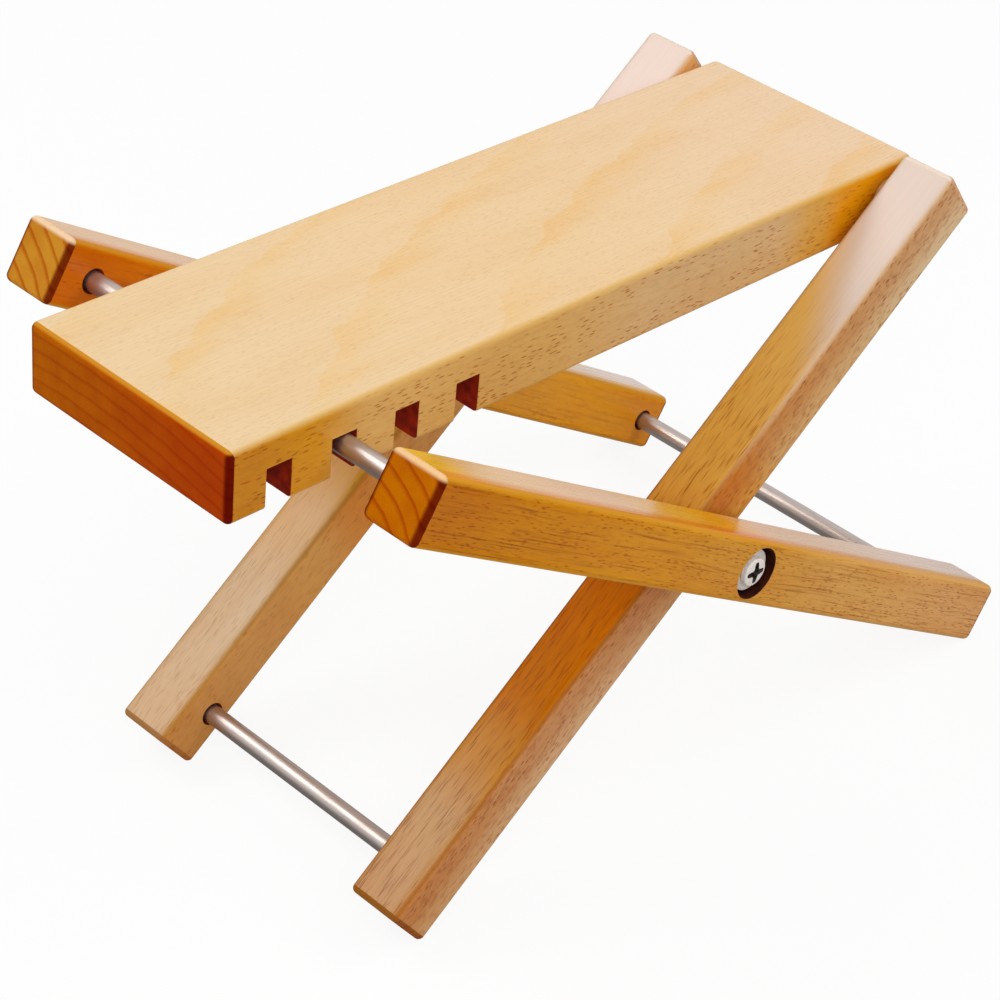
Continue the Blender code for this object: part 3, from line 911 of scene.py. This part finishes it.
def with_marks(surface, colour, looks, lasting):
    """A colour with cloud, mottle, streaks and fibres over it, as deep as the front's and the sides'
    looks say."""
    tree = surface.tree
    for mark, low, high, tone in MARK_TINT:
        front, side = [
            add(tree, "Math", {0: share, 1: look[mark]}, operation="MULTIPLY")
            for share, look in zip(lasting, looks)
        ]
        depth = add(tree, "MapRange", {"Value": surface.on_side, "To Min": front, "To Max": side})
        mask = add(tree, "MapRange", {"Value": surface.noise[mark], "From Min": low, "From Max": high})
        amount = add(tree, "Math", {0: mask, 1: depth}, operation="MULTIPLY")
        colour = add(tree, "Mix", {FACTOR: amount, COLOUR_A: colour, COLOUR_B: linear(tone)}, **TINT)
    return colour


print("Marks are drawn in this order:", [mark for mark, *_ in MARK_TINT])

# %% [markdown]
# ## The board's figure
# On a wide face that the saw met at a low angle, growth rings come out as slanted golden bands, each
# crisp on one side and soft on the other. The rings lie round the heart of the tree, far outside the
# board. They are stretched along the grain, their edges have small teeth, and clouds break them up.

# %% Bands of growth rings
FIGURE_SPACING = 58
FIGURE_STRETCH = 2.5
FIGURE_STRAY = 0.4
FIGURE_TEETH = 14
FIGURE_BAND = (0.03, 0.42)
FIGURE_CLOUDS = (0.35, 0.6)
FIGURE_DEPTH = (0.2, 0.65)
FIGURE_TINT = "#FFF2CC"


def with_figure(surface, colour, along, aside, count):
    """A colour with bands of growth rings on the front. A point's ring number is a count less its
    distance from the heart, which lies at two places in millimetres, along and aside, in units of the
    rings' spacing. Teeth of noise are added to it, and a band falls off over the first part of each whole
    number."""
    tree = surface.tree
    from_heart = add(tree, "VectorMath", {0: surface.local, 1: (along, aside, 0.0)}, operation="SUBTRACT")
    per_ring = (1 / FIGURE_SPACING, FIGURE_STRETCH / FIGURE_SPACING, 0.0)
    in_rings = add(tree, "VectorMath", {0: from_heart, 1: per_ring}, operation="MULTIPLY")
    distance = add(tree, "VectorMath", {0: in_rings}, operation="LENGTH")
    teeth = add(tree, "TexNoise", {"Vector": surface.shifted, "Scale": 1 / FIGURE_TEETH, "Detail": 3.0})
    number = add(tree, "Math", {0: teeth, 1: FIGURE_STRAY, 2: count}, operation="MULTIPLY_ADD")
    ring = add(tree, "Math", {0: number, 1: distance}, operation="SUBTRACT")
    step = add(tree, "Math", {0: ring}, operation="FRACT")
    band = add(tree, "MapRange", {
        "Value": step, "From Min": FIGURE_BAND[0], "From Max": FIGURE_BAND[1], **FALLING,
    }, **SMOOTH)
    broken = add(tree, "MapRange", {
        "Value": surface.noise["cloud"], "From Min": FIGURE_CLOUDS[0], "From Max": FIGURE_CLOUDS[1],
        "To Min": FIGURE_DEPTH[0], "To Max": FIGURE_DEPTH[1],
    })
    on_front = add(tree, "MapRange", {"Value": surface.on_side, **FALLING})
    patchy = add(tree, "Math", {0: broken, 1: on_front}, operation="MULTIPLY")
    amount = add(tree, "Math", {0: band, 1: patchy}, operation="MULTIPLY")
    return add(tree, "Mix", {FACTOR: amount, COLOUR_A: colour, COLOUR_B: linear(FIGURE_TINT)}, **TINT)


print("Growth rings on the board are", FIGURE_SPACING, "mm apart along the grain")

# %% [markdown]
# ## Lacquered beech along the grain
# Steamed beech under clear satin lacquer. The eye sees the warm ground with its marks, and a low gloss
# that is a little uneven: lacquer fills the pores unevenly, and flecks are sunk by hundredths of a
# millimetre. The rounded edges are sanded last, so that they and the bands beside them hold hardly any
# lacquer. A stick's underside and left side take mostly one plain tone, so that it looks calm from
# behind.

# %% Long-grain beech
FLECK_TINT = "#BC7C18"
PLAIN_SHARE = 0.75
EDGE_TURN = 0.5
LACQUER_IOR = 1.5
LACQUER_LEVEL = 0.2
EDGE_LEVEL = 0.04
SATIN = 0.26
FLECK_SINK = -0.8


def ground_of_stick(surface, front, side, plain):
    """The front's and the sides' tones, mixed with the plain tone below the middle and on the left."""
    tree = surface.tree
    wood = surface.wood
    parts = surface.parts
    tones = [ground_tone(tree, wood, parts, look) for look in (front, side)]
    faces = add(tree, "Mix", {FACTOR: surface.on_side, COLOUR_A: tones[0], COLOUR_B: tones[1]}, **BLEND)
    below = add(tree, "MapRange", {
        "Value": parts["Z"], "From Min": MIDDLE_BLUR, "From Max": -MIDDLE_BLUR, "To Max": PLAIN_SHARE,
    })
    on_left = add(tree, "MapRange", {
        "Value": parts["Y"], "From Min": -MIDDLE_BLUR, "From Max": MIDDLE_BLUR, "To Max": PLAIN_SHARE,
    })
    hidden = add(tree, "Mix", {FACTOR: surface.on_side, 2: below, 3: on_left})
    return add(tree, "Mix", {FACTOR: hidden, COLOUR_A: faces, COLOUR_B: linear(plain)}, **BLEND)


def with_edges(surface, colour, start, finish):
    """A colour with the rounded edges in their own tone, which turns from a start to a finish along the
    stick."""
    tree = surface.tree
    # Where the finish tone is paler than the start, the turn is a painted highlight along the rounded edge.
    turning = add(tree, "MapRange", {
        "Value": surface.parts["X"], "From Min": 0.0, "From Max": EDGE_TURN * surface.reach,
    }, **SMOOTH)
    tone = add(tree, "Mix", {FACTOR: turning, COLOUR_A: linear(start), COLOUR_B: linear(finish)}, **BLEND)
    return add(tree, "Mix", {FACTOR: surface.on_edge, COLOUR_A: colour, COLOUR_B: tone}, **BLEND)


def beech(name, wood, front, side, plain, edge, seed):
    """Long grain of one stick. Front and side are the looks of its faces, plain the tone of the hidden
    faces, and edge the tones of the rounded edges, from start to finish. A look's fleck is the length and
    the width of a cell in millimetres, the share kept, and how dark the dashes are. Its figure is the
    heart's two places in millimetres and a ring count."""
    surface = stick_surface(name, wood, seed)
    tree = surface.tree
    looks = (front, side)
    lasting = [lasting_share(surface, look) for look in looks]
    flecks = face_flecks(surface, looks, lasting)
    colour = with_marks(surface, ground_of_stick(surface, front, side, plain), looks, lasting)
    if "figure" in front:
        colour = with_figure(surface, colour, *front["figure"])
    flecked = add(tree, "Mix", {FACTOR: flecks, COLOUR_A: colour, COLOUR_B: linear(FLECK_TINT)}, **TINT)
    shine = add(tree, "MapRange", {"Value": surface.by_edge, "To Min": LACQUER_LEVEL, "To Max": EDGE_LEVEL})
    gloss = add(tree, "MapRange", {
        "Value": surface.noise["streak"], **GLOSS_NOISE, "To Min": SATIN - 0.04, "To Max": SATIN + 0.05,
    })
    fibre = surface.noise["fibre"]
    relief = add(tree, "Math", {0: flecks, 1: FLECK_SINK, 2: fibre}, operation="MULTIPLY_ADD")
    bump = add(tree, "Bump", {"Height": relief, "Strength": 0.2, "Distance": 0.04 * MM})
    wire(tree, surface.shader, {
        "Base Color": with_edges(surface, flecked, *edge), "Specular IOR Level": shine, "Roughness": gloss,
        "Normal": bump, "IOR": LACQUER_IOR,
    })
    return surface.material


print("Satin lacquer: roughness", SATIN, "and IOR", LACQUER_IOR)

# %% [markdown]
# ## The five sticks
# The tones follow the photograph: the board's top is the palest, its sides turn gold towards both ends,
# and the legs run from pale at the top to deep orange near the scissor joint. Much of this is painted
# light: the legs' pale top ends are painted highlight and reflection, and the deep orange near the joint
# is painted shade.

# %% Finish the board's long grain
board_face = beech(
    "beech_board_face", board,
    front=dict(
        tones=[(-135, "#E8CA9D"), (0, "#EBCA9B"), (135, "#ECCBA4")], figure=(286, -101, 8.07),
        cloud=0.2, mottle=0.0, streak=0.05, fibre=0.08, fleck=(3.0, 0.5, 0.8, 0.22),
    ),
    # The side's deep gold at its hinge end is painted shade beside the inner leg.
    side=dict(
        tones=[(-130, "#CF881A"), (-106, "#DB971C"), (-86, "#E8BA6F"), (-30, "#DFAF61"), (30, "#DEB680"),
               (72, "#DDB57E"), (92, "#E0A847"), (104, "#EA9A05")],
        cloud=0.4, mottle=0.1, streak=0.2, fibre=0.25, fleck=(3.8, 0.72, 0.62, 0.85),
    ),
    plain="#E2BC84", edge=("#E0B468", "#E0B468"), seed=1,
)
print("Finished", board_face.name)

# %% Finish the inner legs' long grain
# The front's pale top end is a painted highlight and reflection, and its slant draws the slanted edge of that
# painted reflection. The front's deep orange below the crossing is painted shade. The side's gold at the crossing
# is a painted reflection of the outer leg, and the edge tone that turns pale towards the top is a painted
# highlight.
inner_right_face = beech(
    "beech_inner_right_face", inner_right,
    front=dict(
        tones=[(-131, "#C79561"), (-105, "#CB9A62"), (-82, "#D18D33"), (-60, "#D57A00"), (-25, "#E67F00"),
               (30, "#E8B14F"), (66, "#EAB65C"), (106, "#E2CEC0")], slant=-2.0,
        cloud=0.4, mottle=0.0, streak=0.5, fibre=0.45, fleck=(9.0, 0.55, 0.9, 0.75), fade=(40, 92),
    ),
    side=dict(
        tones=[(-135, "#D8A56D"), (-60, "#E0B587"), (-30, "#E2B382"), (24, "#DFA141"), (44, "#E0B474"),
               (125, "#DFC094")], strip=("Z", 4.0, -7.0, "#F1D4B8"),
        cloud=0.3, mottle=0.35, streak=0.1, fibre=0.25, fleck=(3.2, 0.85, 0.62, 0.9),
    ),
    plain="#D9A868", edge=("#AC6414", "#DCBA96"), seed=2,
)
# The front's pale top end is a painted highlight, and the side's deeper orange where the outer leg crosses is
# painted shade. The edge tone that turns pale towards the top is a painted highlight.
inner_left_face = beech(
    "beech_inner_left_face", inner_left,
    front=dict(
        tones=[(-131, "#D4AE84"), (-85, "#DABB94"), (-55, "#E6BB81"), (-35, "#E4A533"), (125, "#ECD5C8")],
        cloud=0.4, mottle=0.0, streak=0.3, fibre=0.25, fleck=(6.0, 0.55, 0.7, 0.4), fade=(20, 80),
    ),
    side=dict(
        tones=[(-131, "#D9984D"), (-90, "#E6AA60"), (-64, "#F2B968"), (-42, "#F2A044"), (-5, "#EDB368"),
               (125, "#F0B874")],
        cloud=0.3, mottle=0.15, streak=0.2, fibre=0.25, fleck=(3.4, 0.75, 0.52, 0.6),
    ),
    plain="#DAAC6C", edge=("#BC8436", "#DCBA96"), seed=3,
)
print("Finished", inner_right_face.name, "and", inner_left_face.name)

# %% Finish the outer legs' long grain
OUTER_FRONT = dict(
    strip=("Y", -6.5, -2.5, "#F2C456"),
    cloud=0.3, mottle=0.0, streak=0.1, fibre=0.15, fleck=(8.0, 0.9, 0.4, 0.12),
)
# Both outer legs turn paler towards their feet, partly the wood and partly a painted reflection, pale pink on the
# fronts. The deep orange of the sides at their upper ends, under the board, and the right front's deep gold near
# the crossing are painted shade.
outer_right_face = beech(
    "beech_outer_right_face", outer_right,
    front=dict(
        OUTER_FRONT,
        tones=[(-148, "#F7C12C"), (-128, "#E9BF86"), (-70, "#E6B57D"), (-32, "#F0B53D"), (-8, "#F7AD00"),
               (22, "#ECC39C"), (140, "#F7DED1")],
    ),
    side=dict(
        tones=[(-148, "#CA7900"), (-110, "#D48700"), (-50, "#DF961A"), (0, "#DE9C33"), (60, "#E6AD58"),
               (135, "#E9AE69")],
        cloud=0.4, mottle=0.1, streak=0.8, fibre=0.35, fleck=(3.4, 0.6, 0.76, 0.8),
    ),
    plain="#DCA654", edge=("#DC9C1C", "#E0AC60"), seed=4,
)
outer_left_face = beech(
    "beech_outer_left_face", outer_left,
    front=dict(OUTER_FRONT, tones=[(-150, "#E2B17C"), (100, "#E8CAA8"), (140, "#F7E2D7")]),
    side=dict(
        tones=[(-148, "#D46C00"), (-115, "#DE7B00"), (70, "#F7B030"), (110, "#F7A810"), (148, "#F49C00")],
        cloud=0.4, mottle=0.1, streak=0.5, fibre=0.3, fleck=(3.6, 0.65, 0.45, 0.45),
    ),
    plain="#DCA858", edge=("#D89820", "#D89820"), seed=5,
)
print("Finished", outer_right_face.name, "and", outer_left_face.name)

# %% [markdown]
# ## End grain
# Where the stick is cut across, the wood drinks the lacquer: it turns deep orange brown and quite matt,
# and shows its growth rings as curved lines around the heart of the tree. The rings are the distance to a
# line that lies outside the stick, cut into even steps, with thin dark late wood at the end of each step.
# Pores are fine noise, drawn at 0.35 mm where the real ones are a tenth of that, so that they show.
# The rims beside the sides are darkened as painted shade, and the upper rim takes a tone of its own,
# paler on most ends as a painted highlight.

# %% Growth rings of a cut end
RING_SPACING = 4.5
RING_STRAY = 1.5
RING_WAVE = 9
LATE_WOOD = (0.58, 0.88, 1.0)


def growth_rings(tree, local, shifted, heart, depth):
    """A mask of rings: the distance from the heart plus a stray of slow noise, in units of the spacing.
    In each whole number, the mask rises to a depth towards the late wood, and falls to nothing at the
    end."""
    slow = add(tree, "TexNoise", {"Vector": shifted, "Scale": 1 / RING_WAVE, "Detail": 2.0})
    from_heart = add(tree, "VectorMath", {0: local, 1: (0.0, *heart)}, operation="SUBTRACT")
    flat = add(tree, "VectorMath", {0: from_heart, 1: (0.0, 1.0, 1.0)}, operation="MULTIPLY")
    distance = add(tree, "VectorMath", {0: flat}, operation="LENGTH")
    uneven = add(tree, "Math", {0: slow, 1: RING_STRAY, 2: distance}, operation="MULTIPLY_ADD")
    steps = add(tree, "Math", {0: uneven, 1: RING_SPACING}, operation="DIVIDE")
    step = add(tree, "Math", {0: steps}, operation="FRACT")
    start, most, end = LATE_WOOD
    rise = add(tree, "MapRange", {
        "Value": step, "From Min": start, "From Max": most, "To Max": depth,
    }, **SMOOTH)
    fall = add(tree, "MapRange", {"Value": step, "From Min": most, "From Max": end, **FALLING}, **SMOOTH)
    return add(tree, "Math", {0: rise, 1: fall}, operation="MULTIPLY")


print("Growth rings on cut ends are", RING_SPACING, "mm apart")

# %% End-grain beech
END_SEED_STEP = (71.0, 37.0, 53.0)
PORE_SIZE = 0.35
BLOTCH_SIZE = 7
SPOT_DEPTH = 0.5
SIDE_RIM = (2.2, 0.8)
CROWN_INNER = 0.35
RING_TINT = "#E2AD60"
PORE_TINT = "#E0B890"
BLOTCH_TINT = "#E8C098"


def rim_masks(tree, wood, parts, crown_width):
    """One mask for the rims beside both sides, and one for the upper rim, of crown width in
    millimetres."""
    half = wood.half / MM
    # The first mask places painted shade beside the sides, and the second a painted highlight on the upper rim.
    far_across = add(tree, "Math", {0: parts["Y"]}, operation="ABSOLUTE")
    beside = add(tree, "MapRange", {
        "Value": far_across, "From Min": half[1] - SIDE_RIM[0], "From Max": half[1] - SIDE_RIM[1],
    }, **SMOOTH)
    above = add(tree, "MapRange", {
        "Value": parts["Z"], "From Min": half[2] - crown_width,
        "From Max": half[2] - CROWN_INNER * crown_width,
    }, **SMOOTH)
    return beside, above


def end_grain(
    name, wood, tones, crowns, seed, heart, crown_width=2.0, ring_depth=0.9, side_rim_shade="#9A5A34", strip=None
):
    """Cut ends of one stick. Tones are those of its start and its finish along the grain, and crowns
    those of their upper rims. Heart is where the tree's centre lies, across and up in millimetres from
    the stick's middle. A strip deepens the start's tone to one side."""
    material, tree, shader = new_material(name)
    local, parts = stick_place(tree, wood)
    patch = [seed * step for step in END_SEED_STEP]
    shifted = add(tree, "VectorMath", {0: local, 1: patch}, operation="ADD")
    rings = growth_rings(tree, local, shifted, heart, ring_depth)
    pores = add(tree, "TexNoise", {"Vector": shifted, "Scale": 1 / PORE_SIZE, "Detail": 2.0})
    blotches = add(tree, "TexNoise", {"Vector": shifted, "Scale": 1 / BLOTCH_SIZE, "Detail": 3.0})
    pore_mask, blotch_mask = [
        add(tree, "MapRange", {"Value": noise, "From Min": low, "From Max": high, "To Max": SPOT_DEPTH})
        for noise, low, high in ((pores, 0.45, 0.75), (blotches, 0.4, 0.7))
    ]
    beside, above = rim_masks(tree, wood, parts, crown_width)
    at_finish = add(tree, "MapRange", {
        "Value": parts["X"], "From Min": -MIDDLE_BLUR, "From Max": MIDDLE_BLUR,
    })
    start = with_strip(tree, parts, linear(tones[0]), *strip) if strip else linear(tones[0])
    # The crown tones paint a highlight on the upper rim of most ends, and the last tint layer below darkens the
    # rims beside the sides as painted shade.
    colour, crown = [
        add(tree, "Mix", {FACTOR: at_finish, COLOUR_A: first, COLOUR_B: linear(last)}, **BLEND)
        for first, last in ((start, tones[1]), (linear(crowns[0]), crowns[1]))
    ]
    layers = ((rings, RING_TINT), (pore_mask, PORE_TINT), (blotch_mask, BLOTCH_TINT), (beside, side_rim_shade))
    for mask, tone in layers:
        colour = add(tree, "Mix", {FACTOR: mask, COLOUR_A: colour, COLOUR_B: linear(tone)}, **TINT)
    crowned = add(tree, "Mix", {FACTOR: above, COLOUR_A: colour, COLOUR_B: crown}, **BLEND)
    bump = add(tree, "Bump", {"Height": pores, "Strength": 0.25, "Distance": 0.05 * MM})
    wire(tree, shader, {
        "Base Color": crowned, "Normal": bump, "Roughness": 0.6, "Specular IOR Level": 0.02,
        "IOR": LACQUER_IOR,
    })
    return material


print("Pores are drawn", PORE_SIZE, "mm wide")

# %% Finish the cut ends
INNER_END = dict(crown_width=1.1, ring_depth=0.4, side_rim_shade="#F4E0CC")
board_end = end_grain(
    "beech_board_end", board, ("#BD6400", "#D8A060"), ("#D08A24", "#E8C090"), 1,
    heart=(20, -260), crown_width=1.1, ring_depth=0.5, strip=("Y", -40.0, 40.0, "#F6B08C"),
)
inner_right_end = end_grain(
    "beech_inner_right_end", inner_right, ("#A87038", "#E8CDB4"), ("#985E20", "#ECD8C8"), 2,
    heart=(-20, 40), **INNER_END,
)
inner_left_end = end_grain(
    "beech_inner_left_end", inner_left, ("#C08C50", "#E8CDB4"), ("#A87848", "#ECD8C8"), 3,
    heart=(30, 30), **INNER_END,
)
outer_right_end = end_grain(
    "beech_outer_right_end", outer_right, ("#C46E00", "#D89A50"), ("#F0C48E", "#E8C8A8"), 4, heart=(17, -33)
)
outer_left_end = end_grain(
    "beech_outer_left_end", outer_left, ("#D0902A", "#D89A50"), ("#F0CCA4", "#E8C8A8"), 5, heart=(33, -50)
)
print("End-grain finishes:", 5)

# %% [markdown]
# ## Sawn and bored beech
# Saw cuts and drilled holes are never lacquered well: the wood there is rough and dull, with fine marks
# across the cut. Their dark tones are partly that bare wood and partly painted shade inside the cuts:
# notch walls stay red brown, a rod's socket is darker, and the deep screw pocket is nearly black, which
# is painted shade.

# %% Bare cut wood
CUT_BLOTCH = 3 * MM
SAW_MARK = 0.6 * MM


def cut_beech(name, tone):
    """Bare cut wood: a dark tone, blotched, with saw marks less than a millimetre apart."""
    material, tree, shader = new_material(name)
    place = add(tree, "TexCoord", {}).outputs["Object"]
    blotch = add(tree, "TexNoise", {"Vector": place, "Scale": 1 / CUT_BLOTCH, "Detail": 3.0})
    marks = add(tree, "TexNoise", {"Vector": place, "Scale": 1 / SAW_MARK, "Detail": 1.0})
    mask = add(tree, "MapRange", {"Value": blotch, **PATCHES})
    colour = add(tree, "Mix", {FACTOR: mask, COLOUR_A: linear(tone), COLOUR_B: linear("#B09078")}, **TINT)
    bump = add(tree, "Bump", {"Height": marks, "Strength": 0.4, "Distance": 0.08 * MM})
    wire(tree, shader, {"Base Color": colour, "Normal": bump, "Roughness": 0.8, "Specular IOR Level": 0.1})
    return material


# Each tone is partly bare wood and partly painted shade; the near black of the bored holes is painted shade.
sawn_notch = cut_beech("beech_sawn_notch", "#A02402")
bored_hole_with_painted_shade = cut_beech("beech_bored_hole", "#3A1408")
rod_socket = cut_beech("beech_rod_socket", "#7A2C0A")
print("Cut-wood finishes:", sawn_notch.name, bored_hole_with_painted_shade.name, rod_socket.name)

# %% [markdown]
# ## Drawn steel, zinc plate and nylon
# The rods are bright drawn steel, which mirrors the room softly. Drawing leaves faint lines along the
# bar, so the noise is stretched along it. The screws and their washers are zinc-plated. The photograph
# shows the plating pale and chalky, so its metallic value was set far below a bare metal's. The
# screwdriver's recess is painted dark, which is painted shade in the deep cross. Metals keep the default
# IOR. The nylon washers are matt, and drawn amber rather than milky as painted shade, so that they sink
# into the shade between the pieces.

# %% Metal
def metal(name, tone, dark_tone, sizes, roughness, mark_depth, metallic):
    """Metal with marks of the given sizes in millimetres along x, y and z, which mix two tones and vary
    the gloss."""
    material, tree, shader = new_material(name)
    place = add(tree, "TexCoord", {}).outputs["Object"]
    shrink = [1 / (size * MM) for size in sizes]
    squeezed = add(tree, "VectorMath", {0: place, 1: shrink}, operation="MULTIPLY")
    marks = add(tree, "TexNoise", {"Vector": squeezed, "Scale": 1.0, "Detail": 3.0})
    mask = add(tree, "MapRange", {"Value": marks, **PATCHES})
    colour = add(tree, "Mix", {FACTOR: mask, COLOUR_A: linear(tone), COLOUR_B: linear(dark_tone)}, **BLEND)
    gloss = add(tree, "MapRange", {
        "Value": marks, **GLOSS_NOISE, "To Min": roughness - 0.04, "To Max": roughness + 0.06,
    })
    bump = add(tree, "Bump", {"Height": marks, "Strength": mark_depth, "Distance": 0.02 * MM})
    wire(tree, shader, {"Base Color": colour, "Roughness": gloss, "Normal": bump, "Metallic": metallic})
    return material


drawn_steel = metal("drawn_steel", "#C0B4AE", "#AEA29C", (0.25, 8.0, 0.25), 0.4, 0.04, metallic=1.0)
zinc_plate = metal("zinc_plate", "#FAF0EA", "#E8DED6", (0.9, 0.9, 0.9), 0.45, 0.12, metallic=0.08)
# The recess tone is painted shade for the deep cross.
zinc_recess_painted_shade = metal("zinc_recess_painted_shade", "#2A1E18", "#140C08", (0.6, 0.6, 0.6), 0.6, 0.2, metallic=0.3)
print("Metal finishes:", drawn_steel.name, zinc_plate.name, zinc_recess_painted_shade.name)

# %% Nylon
NYLON_MOTTLE = 1.2 * MM


def nylon(name, tone):
    """Matt plastic with a faint mottle of about a millimetre."""
    material, tree, shader = new_material(name)
    place = add(tree, "TexCoord", {}).outputs["Object"]
    mottle = add(tree, "TexNoise", {"Vector": place, "Scale": 1 / NYLON_MOTTLE, "Detail": 2.0})
    mask = add(tree, "MapRange", {"Value": mottle, **PATCHES, "To Max": 0.4})
    colour = add(tree, "Mix", {FACTOR: mask, COLOUR_A: linear(tone), COLOUR_B: linear("#D8CFC0")}, **TINT)
    bump = add(tree, "Bump", {"Height": mottle, "Strength": 0.15, "Distance": 0.03 * MM})
    wire(tree, shader, {"Base Color": colour, "Normal": bump, "Roughness": 0.5, "IOR": 1.53})
    return material


# The amber is painted shade: it makes the washers sink into the shade between the pieces.
amber_nylon = nylon("amber_nylon", "#C8A878")
print("Plastic finish:", amber_nylon.name)

# %% [markdown]
# ## Dressing the pieces
# Each piece takes its finishes, stands in for its CAD node, which is hidden, and rides on the body that it
# moves with.

# %% Dress and attach
bodies = frame["record"]["behaviour"]["bodies"]


def dress(piece, node, *finishes):
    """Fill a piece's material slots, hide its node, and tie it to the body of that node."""
    for index, finish in enumerate(finishes):
        piece.data.materials[index] = finish
    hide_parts(node)
    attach(piece, next(body for body, nodes in bodies.items() if node in nodes))


dress(footboard, "footboard", board_face, board_end, sawn_notch)
dress(leg_right_inner, "inner_leg_right", inner_right_face, inner_right_end, rod_socket)
dress(leg_left_inner, "inner_leg_left", inner_left_face, inner_left_end, rod_socket)
dress(leg_right_outer, "outer_leg_right", outer_right_face, outer_right_end, bored_hole_with_painted_shade)
dress(leg_left_outer, "outer_leg_left", outer_left_face, outer_left_end, rod_socket)
for node, piece in steel_rods.items():
    dress(piece, node, drawn_steel)
for end, piece in screws.items():
    dress(piece, "pivot_screw_" + end, zinc_plate, zinc_plate, zinc_recess_painted_shade)
for node, piece in rings.items():
    dress(piece, node, zinc_plate if node.startswith(("head_washer", "threaded_insert")) else amber_nylon)

# %% [markdown]
# ## Floor and world
# The photograph is a product shot: a white ground, and soft light from both sides of the camera. The
# floor is plain and pale. The camera sees it almost white and keeps its shadow. Other rays see a duller
# floor, so that it doesn't throw too much light up under the legs.

# %% Floor
FLOOR_HALF = 3.0
FLOOR_GLOW = 0.9
CARD_WAY = (1.0, 0.5, 0.0)
CARD_EDGE = (0.05, 0.4)
CARD_LEVEL = (0.25, 0.9)
WHITE = (1, 1, 1, 1)


def pale_floor():
    """A flat square at the height of the lowest foot, white to the camera with a soft shadow. Reflections
    see it pale behind the footrest and dull in front, as if a grey card lay there to deepen the near
    faces."""
    corner = np.array([[-1, -1], [1, -1], [1, 1], [-1, 1]]) * FLOOR_HALF
    points = np.column_stack([corner, np.full(len(corner), cad_box[0][2])])
    floor = put("pale_floor", points, [[0, 1, 2, 3]])
    material, tree, shader = new_material("pale_floor")
    tree.nodes.remove(shader)
    path = add(tree, "LightPath", {}).outputs
    place = add(tree, "TexCoord", {}).outputs["Object"]
    behind = add(tree, "VectorMath", {0: place, 1: CARD_WAY}, operation="DOT_PRODUCT")
    card = add(tree, "MapRange", {
        "Value": behind, "From Min": CARD_EDGE[0], "From Max": CARD_EDGE[1],
        "To Min": CARD_LEVEL[0], "To Max": CARD_LEVEL[1],
    }, **SMOOTH)
    tone = add(tree, "Mix", {
        FACTOR: path["Is Camera Ray"], COLOUR_A: linear("#E0DCD8"), COLOUR_B: linear("#FAFAFA"),
    }, **BLEND)
    matt = add(tree, "BsdfDiffuse", {"Color": tone})
    glow = add(tree, "Emission", {"Color": WHITE, "Strength": 1.0})
    mirrored = add(tree, "Emission", {"Color": WHITE, "Strength": card})
    share = add(tree, "Math", {0: path["Is Camera Ray"], 1: FLOOR_GLOW}, operation="MULTIPLY")
    seen = add(tree, "MixShader", {0: share, 1: matt, 2: glow})
    mixed = add(tree, "MixShader", {0: path["Is Glossy Ray"], 1: seen, 2: mirrored})
    wire(tree, tree.nodes["Material Output"], {"Surface": mixed})
    floor.data.materials[0] = material


pale_floor()
print("Floor at", cad_box[0][2])

# %% World
AMBIENT = 0.34


def white_world():
    """White where the camera and reflections see it, and a plain ambient level as light."""
    world = bpy.data.worlds.new("white_room")
    world.use_nodes = True
    tree = world.node_tree
    path = add(tree, "LightPath", {}).outputs
    seen = add(tree, "Math", {0: path["Is Camera Ray"], 1: path["Is Glossy Ray"]}, operation="MAXIMUM")
    seen = add(tree, "Math", {0: seen, 1: path["Is Transmission Ray"]}, operation="MAXIMUM")
    level = add(tree, "MapRange", {"Value": seen, "To Min": AMBIENT, "To Max": 1.0})
    wire(tree, tree.nodes["Background"], {"Color": WHITE, "Strength": level})
    bpy.context.scene.world = world


white_world()
print("Ambient light:", AMBIENT)

# %% [markdown]
# ## Soft boxes
# Three wide square lamps stand in for a studio's soft boxes: one behind on the left for the board's top,
# one on the right for the pale top ends of the legs, and one near the camera that opens the shadows.

# %% Lamps
LAMP_TARGET = np.array([0.0, 0.0, 0.09])


def soft_box(name, direction, distance, size, power):
    """A square lamp that faces the footrest from a direction."""
    lamp = bpy.data.lights.new(name, "AREA")
    lamp.shape = "SQUARE"
    lamp.size = size
    lamp.energy = power
    holder = bpy.data.objects.new(name, lamp)
    toward = unit(np.array(direction))
    holder.location = (LAMP_TARGET + distance * toward).tolist()
    sideways = unit(np.cross([0.0, 0.0, 1.0], toward))
    turn = np.stack([sideways, np.cross(toward, sideways), toward], axis=1)
    holder.rotation_mode = "QUATERNION"
    holder.rotation_quaternion = Matrix(turn.tolist()).to_quaternion()
    bpy.context.scene.collection.objects.link(holder)


soft_box("soft_box_left", (-0.37, 0.556, 0.744), 1.3, 0.65, 6.2)
soft_box("soft_box_right", (0.55, -0.45, 0.7), 1.3, 0.8, 5.4)
soft_box("soft_box_front", (-0.5, -0.55, 0.67), 1.4, 0.8, 7.2)

# %% [markdown]
# ## The camera
# Its place and turn were fitted to about fifty corners read from the photograph, so the render can be
# laid over it.

# %% Camera
CAMERA_PLACE = (-0.508912, -0.482223, 0.597950)
CAMERA_TURN = (53.41529, -2.18053, -44.60036)
CAMERA_LENS = 103.571
CAMERA_SENSOR = 36.0
camera = bpy.data.objects.new("camera", bpy.data.cameras.new("camera"))
camera.data.lens = CAMERA_LENS
camera.data.sensor_width = CAMERA_SENSOR
camera.location = CAMERA_PLACE
camera.rotation_euler = [math.radians(angle) for angle in CAMERA_TURN]
bpy.context.scene.collection.objects.link(camera)
bpy.context.scene.camera = camera
bpy.context.scene.view_settings.view_transform = "Standard"
print("Camera at", CAMERA_PLACE)
